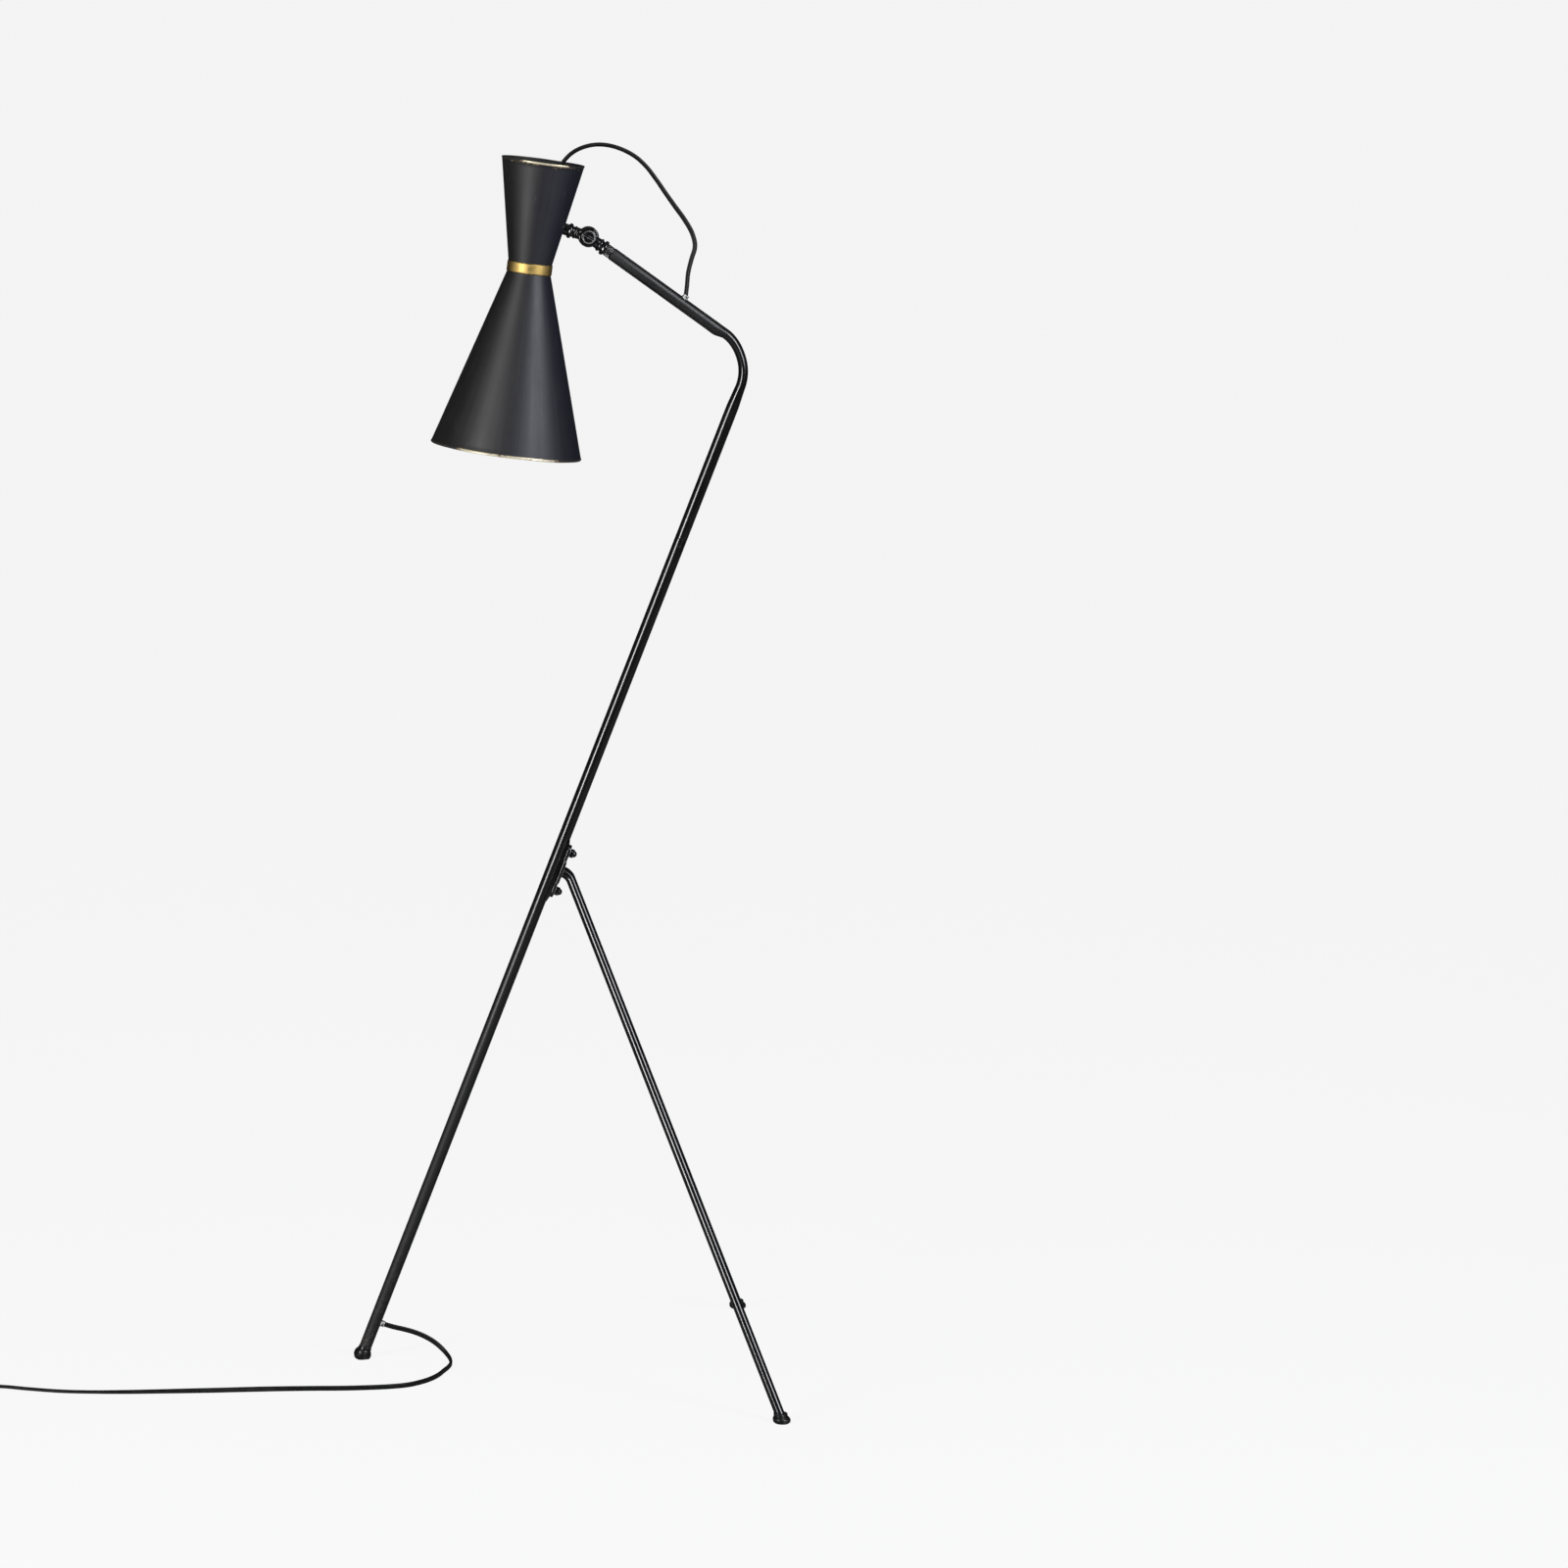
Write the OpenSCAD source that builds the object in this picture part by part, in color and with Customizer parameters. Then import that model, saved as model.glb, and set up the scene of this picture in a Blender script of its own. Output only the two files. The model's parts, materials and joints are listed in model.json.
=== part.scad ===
// Tripod floor lamp: a bent tubular pole as the front leg, two rear legs bolted to it on a plate,
// and a double-cone shade on a friction knuckle, with a flat lead, an in-line switch and a plug.
// Millimetres. +Z is up and +X runs from the front foot to the rear feet. The lamp is symmetric
// about Y = 0, apart from its knuckle and its lead. The origin is on the floor, in the middle of
// the box round the lamp without its lead.

/* [Stand] */
// Outer diameter of the pole tube
pole_d = 16; // [15:0.5:18]
// Wall of the pole tube
pole_wall = 1.5; // [1:0.1:2]
// Lean of the pole from upright, in degrees
pole_lean = 19.3; // [17:0.1:21]
// Length of the pole from the floor to the corner where its line meets the arm's
pole_run = 1412; // [1380:1:1440]
// Length of the arm from that corner to the knuckle's axis
arm_run = 261; // [255:1:270]
// Fall of the arm from the knuckle, in degrees below level
arm_drop = 33.8; // [31:0.1:36]
// Centreline radius of the bend between pole and arm
bend_r = 58; // [50:1:64]
// Distance along the pole at which its lower and upper tubes meet
seam_at = 1157; // [1140:1:1170]
// Outer diameter of the rear legs
leg_d = 12.7; // [11:0.1:14]
// Distance from the front foot back to the rear feet
rear_x = 525; // [505:1:545]
// Half the distance between the two rear feet
rear_y = 306.5; // [290:0.5:320]
// Distance along the pole to the middle of the leg plate
plate_at = 697; // [680:1:710]

/* [Shade] */
// Lean of the shade, its top towards the arm, in degrees
shade_tilt = 5.5; // [0:0.5:10]
// Outer diameter of the upper cone's rim
top_d = 106; // [100:1:112]
// Outer diameter of the lower cone's rim
mouth_d = 194; // [180:1:200]
// Outer diameter of both cones at the waist
waist_d = 56.4; // [56:0.2:58]
// Height of the upper cone above the middle of the band
upper_h = 137.6; // [130:0.2:142]
// Height of the lower cone below the middle of the band
lower_h = 236.8; // [230:0.2:242]
// Thickness of the shade's metal
shade_wall = 1; // [0.8:0.1:1.2]
// Outer diameter of the brass band
band_d = 58; // [58:0.2:60]
// Height of the brass band
band_h = 13.4; // [12:0.2:15]
// Height above the band at which the knuckle's stem passes through the upper cone
stem_h = 55; // [53:0.5:57]
// Distance from the knuckle's axis to the shade's metal
stem_reach = 33; // [32:0.5:34]

/* [Knuckle] */
// Diameter of the two knuckle discs
disc_d = 26.5; // [26:0.1:28]
// Thickness of each disc
disc_t = 6.2; // [5.5:0.1:6.5]
// Diameter of the slotted screw's head
screw_head_d = 19.4; // [17:0.1:21]

/* [Lead] */
// Width of the flat lead
lead_w = 6; // [5.4:0.1:6.2]
// Thickness of the flat lead
lead_t = 3.6; // [3.2:0.1:3.8]
// Number of layers in the coil of spare lead
coil_layers = 4; // [3:1:4]

/* [Hidden] */
$fn = 64;

black = "#151517";
steel = "#8f9296";
brass = "#a98a45";
rubber = "#1b1b1b";
bakelite = "#201c1a";
ivory = "#e6e2d4";

// Pole, arm and bend
pole_r = pole_d / 2;
bore_r = pole_r - pole_wall;
turn = 90 + pole_lean - arm_drop;
bend_tangent = bend_r * tan(turn / 2);
pole_start = 8;
arm_start = 37;
sleeve_half = 40;
set_screw_r = 2;
set_screw_at = seam_at - 9;

// How far a straight tube reaches over a bend, and how much thinner the bend's wall is
lap = 0.4;
hair = 0.02;

// Feet
foot_r = 11.4;
foot_h = 13.5;
front_core_r = 6;
front_bulge_r = 5.4;
front_bulge_at = 5;
front_min_x = front_bulge_at * sin(pole_lean) - front_core_r * cos(pole_lean) - front_bulge_r;
centre_x = (rear_x + foot_r + front_min_x) / 2;
leg_wall = 1.2;
leg_end_h = 5;

// Leg plate and its studs, measured outward from the pole's axis
lug_w = 18;
lug_l = 86;
lug_face = 9.4;
plate_t = 4;
plate_l = 73;
plate_face = lug_face + plate_t;
stud_pitch = 53;
stud_r = 3;
stud_in = 5.4;
stud_out = 20;
clamp_washer_t = 1.2;
nut_h = 4.6;
leg_gap = 15;
leg_reach = 9.5;
leg_bend_r = 18;

// Knuckle, along the arm or along the shade's stem from the knuckle's axis
disc_r = disc_d / 2;
gap = 0.8;
neck_r = 7.4;
neck_end = 16;
stem_r = 5;
pin_r = 3;
pin_clear = 0.05;
disc_face = gap + disc_t;

// Shade, from the middle of its band
waist_r = waist_d / 2;
neck_h = band_h / 2;
upper_slope = (top_d / 2 - waist_r) / (upper_h - neck_h);
lower_slope = (mouth_d / 2 - waist_r) / (lower_h - neck_h);
upper_angle = atan(upper_slope);
knuckle_x = waist_r + (stem_h - neck_h) * upper_slope + stem_reach * cos(upper_angle);
knuckle_z = stem_h - stem_reach * sin(upper_angle);
bracket_t = 1.5;
bracket_z = 43;
bracket_w = 20;
saddle_end = stem_reach + 3.6;
grip_low = bracket_z + bracket_t + 3;
grip_top = grip_low + 17;

// Lampholder and bulb
holder_r = 18;
shell_r = 14.2;
bulb_cap_r = 13.2;
globe_r = 30;
globe_z = -72;
glass_top = -5;

// Places along the pole and the arm where the lead passes through a bush
lead_low = 53.5;
lead_high = 146.4;
bush_hole_r = 4.2;
bush_bore_r = 3.2;
bush_flange_r = 5;
bush_flange_t = 2.6;
inner_turn = 4.2;

// Coil of spare lead
coil_r = 33;
coil_x = -850;
coil_y = -153;
turn_pitch = lead_w + 0.2;
layer_pitch = lead_t + 0.2;
coil_z = 1.3;
tie_t = 0.8;

// In-line switch, along X
switch_x = -772;
switch_y = -192;
switch_l = 56;
switch_w = 27;
switch_h = 19;
switch_split = 8.5;
switch_skin = 1.6;
rocker_r = 1.5;
rocker_z = 14.4;
rocker_rest = 7;

// Plug, along Y from the back of its body
plug_x = -815.5;
plug_y = -54;
plug_l = 34;
plug_w = 35;
plug_h = 14;
pin_gap = 19;
plug_pin_r = 2;
plug_root_r = 1.8;
plug_pin_l = 19;
plug_grip = 12;
boot_l = 22;

function unit(v) = v / norm(v);
function pole_pt(s, off = 0) = [
    s * sin(pole_lean) + off * cos(pole_lean) - centre_x, 0,
    s * cos(pole_lean) - off * sin(pole_lean)
];
corner = pole_pt(pole_run);
knuckle = corner + arm_run * [-cos(arm_drop), 0, sin(arm_drop)];
function arm_pt(t, off = 0) = knuckle
    + t * [cos(arm_drop), 0, -sin(arm_drop)] + off * [sin(arm_drop), 0, cos(arm_drop)];

// A point in the plane Y = 0, given in the shade's own frame
function head_pt(x, z) = knuckle + [
    (x - knuckle_x) * cos(shade_tilt) + (z - knuckle_z) * sin(shade_tilt), 0,
    (knuckle_x - x) * sin(shade_tilt) + (z - knuckle_z) * cos(shade_tilt)
];

// Routes of the lead. The first point of each is at the bush that it leaves.
lead_exit = pole_pt(lead_low, pole_r + bush_flange_t);
head_exit = arm_pt(lead_high, pole_r + bush_flange_t);
lead_route = [
    lead_exit, [-222, 0, 43], [-207, 1, 39.5], [-192, 2, 35], [-178, 3, 28.8], [-166, 3, 21.4],
    [-157, 0, 14.2], [-150.5, -7.5, 8.4], [-147, -19, 4.9], [-147.2, -35, 3.4], [-151.5, -54, 3.3],
    [-158, -72, 3.1], [-165, -92, 3.1], [-175, -112, 3.1], [-189, -131, 3.1], [-208, -148, 3.1],
    [-232, -158, 3.1], [-258, -164, 3.1], [-290, -169, 3.1], [-330, -172, 3.1], [-370, -176, 3.1],
    [-410, -181, 3.1], [-450, -187, 3.1], [-490, -192, 3], [-530, -196, 2.7], [-570, -199, 2.3],
    [-610, -200, 2], [-650, -199, 2.2], [-690, -196, 3.8], [-718, -193, 5.4],
    [switch_x + switch_l / 2, switch_y, 6.5]
];
link_route = [
    [switch_x - switch_l / 2, switch_y, 6.5], [-812, -192, 5.6], [-824, -192, 4],
    [-837, -192.2, 3.3], [-850, -192.2, 3.3]
];
tail_route = [
    [-850, -113.8, 14.6], [-840, -112.6, 14.4], [-830.5, -108.4, 13.2], [-822.5, -101.5, 11],
    [-817.5, -92.5, 8.8], [-815.8, -84, 7.5], [plug_x, plug_y - boot_l, 7.2]
];
inner_route = [
    lead_exit, pole_pt(lead_low, inner_turn),
    pole_pt(lead_low + 0.3 * inner_turn, 0.3 * inner_turn), pole_pt(lead_low + inner_turn),
    pole_pt(pole_run / 3), pole_pt(2 * pole_run / 3),
    for (k = [0:10])
        pole_pt(pole_run - bend_tangent + bend_r * sin(turn * k / 10), bend_r * (cos(turn * k / 10) - 1)),
    arm_pt(lead_high + inner_turn), arm_pt(lead_high + 0.3 * inner_turn, 0.3 * inner_turn),
    arm_pt(lead_high, inner_turn), head_exit
];
head_route = [
    head_exit, [115, 0, 1419], [116, 0, 1436], [119.5, 0, 1453], [123.5, 0, 1470],
    [119, 0, 1487], [108.5, 0, 1504], [96, 0, 1520], [83, 0, 1537], [70, 0, 1554.5],
    [57.5, 0, 1569.5], [43.5, 0, 1581.5], [27, 0, 1590], [9, 0, 1595], [-9, 0, 1595.5],
    [-26, 0, 1591], [-40, 0, 1582.5], [-51, 0, 1569.5], [-59.5, 0, 1554], [-67, 0, 1538],
    [-74.5, 0, 1522], [-79.5, 0, 1508.5], head_pt(0, grip_top + 0.5)
];

// A point at part f of the way from b to c, on the smooth curve through a, b, c and d
function curve_pt(a, b, c, d, f) = 0.5 * (2 * b + (c - a) * f
    + (2 * a - 5 * b + 4 * c - d) * f * f + (3 * b - a - 3 * c + d) * f * f * f);

// The route with extra points, so that they are about step apart
function smooth_route(p, step) = [
    for (i = [0:len(p) - 2])
        let (n = max(1, round(norm(p[i + 1] - p[i]) / step)))
        for (k = [0:n - 1])
            curve_pt(p[max(i - 1, 0)], p[i], p[i + 1], p[min(i + 2, len(p) - 1)], k / n),
    p[len(p) - 1]
];

// A closed tube of oval section, half[0] wide across the way that ref leaves free. Its section
// is rolled by an angle over the first half of the route, and turns back over the next third.
module oval_sweep(route, ref, half, step = 16, roll = 0) {
    sides = 10;
    p = smooth_route(route, step);
    last = len(p) - 1;
    rings = [
        for (i = [0:last])
            let (
                along = unit(p[min(i + 1, last)] - p[max(i - 1, 0)]),
                side = unit(cross(along, ref)),
                up = cross(side, along),
                rolled = roll * max(0, min(1, (5 - 6 * i / last) / 2)),
                wide = cos(rolled) * side + sin(rolled) * up,
                thick = cos(rolled) * up - sin(rolled) * side
            )
            for (k = [0:sides - 1])
                p[i] + half[0] * cos(360 * k / sides) * wide + half[1] * sin(360 * k / sides) * thick
    ];
    sleeves = [
        for (i = [0:last - 1])
            for (k = [0:sides - 1])
                let (m = (k + 1) % sides)
                [i * sides + k, (i + 1) * sides + k, (i + 1) * sides + m, i * sides + m]
    ];
    ends = [[for (k = [0:sides - 1]) k], [for (k = [sides - 1:-1:0]) last * sides + k]];
    polyhedron(points = rings, faces = concat(sleeves, ends), convexity = 8);
}

module at_pole(s) {
    translate(pole_pt(s)) rotate([0, pole_lean, 0]) children();
}

module at_arm(t) {
    translate(arm_pt(t)) rotate([0, 90 + arm_drop, 0]) children();
}

// The middle of the bend between pole and arm, +X towards the pole's end of it
module at_bend() {
    translate(pole_pt(pole_run - bend_tangent, -bend_r)) rotate([90, pole_lean, 0]) children();
}

// The shade's own frame: origin in the middle of the band, +Z up the shade, +X to the knuckle
module in_head() {
    translate(knuckle) rotate([0, shade_tilt, 0]) translate([-knuckle_x, 0, -knuckle_z]) children();
}

// Along the shade's stem, +Z from the knuckle's axis to the shade
module at_stem(s) {
    in_head() translate([knuckle_x, 0, knuckle_z]) rotate([0, upper_angle - 90, 0])
        translate([0, 0, s]) children();
}

// Across the knuckle, +Z towards -Y
module at_knuckle(y) {
    translate(knuckle) rotate([90, 0, 0]) translate([0, 0, y]) children();
}

module pipe(r_out, r_in, h) {
    difference() {
        cylinder(r = r_out, h = h);
        translate([0, 0, -1]) cylinder(r = r_in, h = h + 2);
    }
}

module hex(flats, h) {
    cylinder(d = flats / cos(30), h = h, $fn = 6);
}

// A ring with a half-round edge
module bead_ring(r_out, r_in, h) {
    rotate_extrude() {
        translate([r_in, 0]) square([r_out - h / 2 - r_in, h]);
        intersection() {
            translate([r_out - h / 2, h / 2]) circle(r = h / 2);
            translate([r_out - h / 2 - 0.01, 0]) square([h, h]);
        }
    }
}

// A tube from a to b to c, with its corner at b bent to a radius.
// The bend is a hair thinner than the straight stretches, which reach a little way over it.
module bent_tube(a, b, c, bend, r_out, r_in) {
    u = unit(b - a);
    v = unit(c - b);
    angle = acos(u * v);
    cut = bend * tan(angle / 2);
    w = unit(v - (u * v) * u);
    z = cross(-w, u);
    mid = b - cut * u + bend * w;
    between(a, b) pipe(r_out, r_in, norm(b - a) - cut + lap);
    multmatrix([
        [-w[0], u[0], z[0], mid[0]],
        [-w[1], u[1], z[1], mid[1]],
        [-w[2], u[2], z[2], mid[2]],
        [0, 0, 0, 1]
    ]) bend_arc(angle, bend, r_out, r_in);
    between(b + (cut - lap) * v, c) pipe(r_out, r_in, norm(c - b) - cut + lap);
}

// The bend itself about +Z, from the X axis
module bend_arc(angle, bend, r_out, r_in) {
    rotate_extrude(angle = angle) translate([bend, 0]) difference() {
        circle(r = r_out - hair);
        circle(r = r_in + hair);
    }
}

// +Z from a towards b
module between(a, b) {
    d = unit(b - a);
    translate(a) rotate([0, acos(d[2]), atan2(d[1], d[0])]) children();
}

// ---- Stand ----

module pole_lower() {
    color(black) difference() {
        at_pole(pole_start) pipe(pole_r, bore_r, seam_at - pole_start);
        at_pole(lead_low) rotate([0, 90, 0]) cylinder(r = bush_hole_r, h = pole_d);
        for (k = [-1, 1])
            at_pole(plate_at + k * stud_pitch / 2) rotate([0, 90, 0]) cylinder(r = stud_r, h = pole_d);
        at_pole(set_screw_at) rotate([90, 0, 0]) cylinder(r = set_screw_r, h = pole_d);
    }
}

module pole_upper() {
    color(black) {
        at_pole(seam_at) pipe(pole_r, bore_r, pole_run - bend_tangent - seam_at + lap);
        at_bend() bend_arc(turn, bend_r, pole_r, bore_r);
        difference() {
            at_arm(arm_start) pipe(pole_r, bore_r, arm_run - bend_tangent - arm_start + lap);
            at_arm(lead_high) rotate([0, -90, 0]) cylinder(r = bush_hole_r, h = pole_d);
        }
    }
}

module pole_sleeve() {
    color(steel) difference() {
        at_pole(seam_at - sleeve_half) pipe(bore_r, bore_r - 1.4, 2 * sleeve_half);
        at_pole(set_screw_at) rotate([90, 0, 0]) cylinder(r = set_screw_r, h = pole_d);
    }
}

module pole_set_screw() {
    screw_l = 3.2;
    head_y = pole_r - 0.15;
    color(steel) at_pole(set_screw_at) rotate([90, 0, 0]) difference() {
        translate([0, 0, head_y - screw_l]) cylinder(r = set_screw_r, h = screw_l);
        translate([-set_screw_r, -0.3, head_y - 0.8]) cube([2 * set_screw_r, 0.6, 2]);
    }
}

module front_foot() {
    collar_r = 9.6;
    collar_end = 17;
    deep = 40;
    color(rubber) difference() {
        translate(pole_pt(0)) rotate([0, pole_lean, 0]) union() {
            rotate_extrude() {
                translate([0, -5]) square([front_core_r + 1.5, 5 + front_bulge_at]);
                translate([0, front_bulge_at - front_bulge_r])
                    square([front_core_r, 2 * front_bulge_r]);
                intersection() {
                    translate([front_core_r, front_bulge_at]) circle(r = front_bulge_r);
                    translate([front_core_r - 0.01, -deep / 2]) square([deep, deep]);
                }
                translate([0, front_bulge_at]) square([collar_r, collar_end - front_bulge_at]);
            }
        }
        at_pole(pole_start) cylinder(r = pole_r, h = deep);
        translate([-centre_x - deep, -deep, -deep]) cube([2 * deep, 2 * deep, deep]);
    }
}

// The welded pad between the pole and the leg plate, with its ends tapered down to the pole
module pole_lug() {
    taper = 8;
    low = 4.5;
    color(black) difference() {
        at_pole(plate_at) rotate([90, 0, 0]) translate([0, 0, -lug_w / 2]) linear_extrude(lug_w)
            polygon([
                [low, -lug_l / 2], [pole_r - 0.6, -lug_l / 2], [lug_face, -lug_l / 2 + taper],
                [lug_face, lug_l / 2 - taper], [pole_r - 0.6, lug_l / 2], [low, lug_l / 2]
            ]);
        at_pole(plate_at - lug_l) cylinder(r = pole_r, h = 2 * lug_l);
        for (k = [-1, 1])
            at_pole(plate_at + k * stud_pitch / 2) rotate([0, 90, 0]) cylinder(r = stud_r, h = pole_d);
    }
}

module clamp_studs() {
    color(steel) for (k = [-1, 1])
        at_pole(plate_at + k * stud_pitch / 2) rotate([0, 90, 0])
            translate([0, 0, stud_in]) cylinder(r = stud_r, h = stud_out - stud_in);
}

module leg_plate() {
    wide = leg_gap + leg_d + 5;
    mid_l = 30;
    end_w = 18;
    color(black) at_pole(plate_at) translate([lug_face, 0, 0]) rotate([0, 90, 0]) difference() {
        union() {
            translate([-plate_l / 2 + end_w / 2, -end_w / 2, 0])
                cube([plate_l - end_w, end_w, plate_t]);
            for (k = [-1, 1])
                translate([k * (plate_l - end_w) / 2, 0, 0]) cylinder(d = end_w, h = plate_t);
            translate([-mid_l / 2, -wide / 2, 0]) cube([mid_l, wide, plate_t]);
        }
        for (k = [-1, 1])
            translate([k * stud_pitch / 2, 0, -1]) cylinder(r = stud_r, h = plate_t + 2);
    }
}

module clamp_washers() {
    color(steel) for (k = [-1, 1])
        at_pole(plate_at + k * stud_pitch / 2) rotate([0, 90, 0])
            translate([0, 0, plate_face]) pipe(6, stud_r, clamp_washer_t);
}

// Acorn nuts: a hexagon with a domed end
module clamp_nuts() {
    base = plate_face + clamp_washer_t;
    dome_r = 4.5;
    color(black) for (k = [-1, 1])
        at_pole(plate_at + k * stud_pitch / 2) rotate([0, 90, 0]) difference() {
            translate([0, 0, base]) union() {
                hex(10, nut_h);
                translate([0, 0, nut_h - 0.2]) sphere(r = dome_r);
            }
            cylinder(r = stud_r, h = stud_out);
            cylinder(r = 12, h = base);
        }
}

// side is -1 for the near leg and 1 for the far one
module rear_leg(side) {
    start = pole_pt(plate_at, plate_face) + [0, side * leg_gap / 2, 0];
    elbow = pole_pt(plate_at, plate_face + leg_reach) + [0, side * leg_gap / 2, 0];
    foot = [rear_x - centre_x, side * rear_y, leg_end_h];
    color(black) bent_tube(start, elbow, foot, leg_bend_r, leg_d / 2, leg_d / 2 - leg_wall);
}

module rear_leg_near() {
    rear_leg(-1);
}

module rear_leg_far() {
    rear_leg(1);
}

module rear_foot(side) {
    rim_r = 4.4;
    elbow = pole_pt(plate_at, plate_face + leg_reach) + [0, side * leg_gap / 2, 0];
    foot = [rear_x - centre_x, side * rear_y, leg_end_h];
    color(rubber) difference() {
        translate([foot[0], foot[1], 0]) rotate_extrude() {
            square([foot_r - rim_r, 2 * rim_r]);
            intersection() {
                translate([foot_r - rim_r, rim_r]) circle(r = rim_r);
                translate([foot_r - rim_r - 0.01, 0]) square([2 * rim_r, 2 * rim_r]);
            }
            square([8.8, foot_h]);
        }
        between(foot, elbow) cylinder(r = leg_d / 2, h = 60);
    }
}

module rear_foot_near() {
    rear_foot(-1);
}

module rear_foot_far() {
    rear_foot(1);
}

// +Z outward through the tube's wall, from the tube's axis
module bush() {
    color(ivory) difference() {
        intersection() {
            union() {
                cylinder(r = bush_hole_r, h = pole_r + 1);
                translate([0, 0, pole_r - 3]) cylinder(r = bush_flange_r, h = bush_flange_t + 3);
            }
            translate([0, 0, bore_r - 1]) cylinder(r = 2 * bush_flange_r, h = pole_d);
        }
        difference() {
            rotate([0, 90, 0]) cylinder(r = pole_r, h = 4 * pole_r, center = true);
            cylinder(r = bush_hole_r, h = pole_d);
        }
        cylinder(r = bush_bore_r, h = 2 * pole_d);
    }
}

module pole_bush() {
    at_pole(lead_low) rotate([0, 90, 0]) bush();
}

module arm_bush() {
    at_arm(lead_high) rotate([0, -90, 0]) bush();
}

// The stretch of lead that the tubes hold, from one bush to the other
module inner_lead() {
    color("#2a2a2c") oval_sweep(inner_route, [0, 1, 0], [lead_t / 2, lead_w / 2], 2 * pole_run);
}

// ---- Knuckle ----

module arm_ferrule() {
    barrel_r = 7.4;
    color(black) at_arm(0) difference() {
        union() {
            translate([0, 0, 20]) cylinder(r = barrel_r, h = arm_start - 20);
            translate([0, 0, 22.2]) bead_ring(10.2, barrel_r - 1, 4.6);
            translate([0, 0, arm_start]) cylinder(r = bore_r, h = 16);
        }
        cylinder(r = stem_r, h = 80);
    }
}

module arm_lock_ring() {
    color(black) at_arm(neck_end) bead_ring(9.35, stem_r, 4);
}

// One half of the knuckle about +Z, with its neck along +X cut clear of the other disc
module knuckle_half(neck_way, stem_l) {
    difference() {
        union() {
            translate([0, 0, gap]) cylinder(r = disc_r, h = disc_t);
            rotate(neck_way) rotate([0, 90, 0]) cylinder(r = neck_r, h = neck_end);
            rotate(neck_way) rotate([0, 90, 0]) cylinder(r = stem_r, h = stem_l);
        }
        translate([0, 0, gap - 20]) cylinder(r = disc_r + 0.4, h = 20);
        translate([0, 0, -10]) cylinder(r = pin_r + pin_clear, h = 30);
        translate([0, 0, disc_face]) cylinder(r = disc_r - 0.01, h = 10);
    }
}

module knuckle_arm_half() {
    color(black) translate(knuckle) rotate([-90, 0, 0]) knuckle_half(arm_drop, 50);
}

module knuckle_head_half() {
    color(black) translate(knuckle) rotate([90, 0, 0])
        knuckle_half(180 - upper_angle - shade_tilt, stem_reach + 14);
}

module friction_washer() {
    half_t = gap - 0.1;
    color("#5a4632") at_knuckle(-gap) pipe(12.2, pin_r + 0.1, gap + half_t);
}

// A round slotted screw, its head on the near face
module knuckle_screw() {
    head_r = screw_head_d / 2;
    head_h = 3;
    seat = disc_face + 0.1;
    tip = 17;
    color(black) at_knuckle(0) difference() {
        union() {
            translate([0, 0, -tip]) cylinder(r = pin_r, h = tip + seat + 1);
            translate([0, 0, seat]) rotate_extrude() {
                square([head_r, head_h - 1]);
                square([head_r - 1, head_h]);
                intersection() {
                    translate([head_r - 1, head_h - 1]) circle(r = 1);
                    translate([head_r - 1.01, head_h - 1.01]) square(2);
                }
            }
        }
        translate([0, 0, seat + head_h - 0.6]) pipe(head_r - 1.4, head_r - 2.6, 2);
        rotate(-26) translate([-head_r + 2.7, -1, seat + head_h - 1.6])
            cube([2 * head_r - 5.4, 2, 3]);
    }
}

module knuckle_washer() {
    color(steel) at_knuckle(-disc_face - 1.4) difference() {
        pipe(6, pin_r, 1.4);
        translate([0, -0.5, -1]) cube([8, 1, 4]);
    }
}

module knuckle_nut() {
    color(black) at_knuckle(-disc_face - 1.4 - 5) difference() {
        hex(10, 5);
        translate([0, 0, -1]) cylinder(r = pin_r, h = 8);
    }
}

module stem_lock_ring() {
    color(black) at_stem(neck_end) bead_ring(8.65, stem_r, 4);
}

// The upper cone's outer or inner surface as a solid, in the shade's frame
module cone_fill(inset) {
    h = upper_h - neck_h;
    translate([0, 0, neck_h])
        cylinder(r1 = waist_r - inset, r2 = top_d / 2 - inset, h = h, $fn = 128);
}

module stem_collar() {
    color(black) difference() {
        at_stem(neck_end + 4) difference() {
            union() {
                cylinder(r = 7.5, h = stem_reach - neck_end);
                translate([0, 0, 2.6]) bead_ring(10, 6.5, 4.6);
            }
            translate([0, 0, -1]) cylinder(r = stem_r, h = 40);
        }
        in_head() cone_fill(0);
    }
}

module saddle_washer() {
    color(steel) intersection() {
        at_stem(stem_reach) pipe(8, stem_r, saddle_end - stem_reach);
        in_head() cone_fill(shade_wall);
    }
}

module stem_nut() {
    color(steel) at_stem(saddle_end + bracket_t) difference() {
        hex(16, 4.5);
        translate([0, 0, -1]) cylinder(r = stem_r, h = 8);
    }
}

// ---- Shade and lampholder ----

// A strip that runs down from the stem's nut and then across to the lampholder
module holder_bracket() {
    half_w = bracket_w / 2;
    up = [sin(upper_angle), cos(upper_angle)];
    seat = [knuckle_x - saddle_end * up[1], knuckle_z + saddle_end * up[0]];
    back = seat + bracket_t * [-up[1], up[0]];
    color(steel) in_head() difference() {
        rotate([90, 0, 0]) translate([0, 0, -half_w]) linear_extrude(bracket_w) polygon([
            seat + half_w * up, back + half_w * up,
            back - (back[1] - bracket_z - bracket_t) / up[1] * up,
            [-half_w, bracket_z + bracket_t], [-half_w, bracket_z],
            seat - (seat[1] - bracket_z) / up[1] * up
        ]);
        translate([knuckle_x, 0, knuckle_z]) rotate([0, upper_angle - 90, 0])
            cylinder(r = stem_r, h = 80);
        translate([0, 0, bracket_z - 1]) cylinder(r = 5, h = 8);
    }
}

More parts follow.
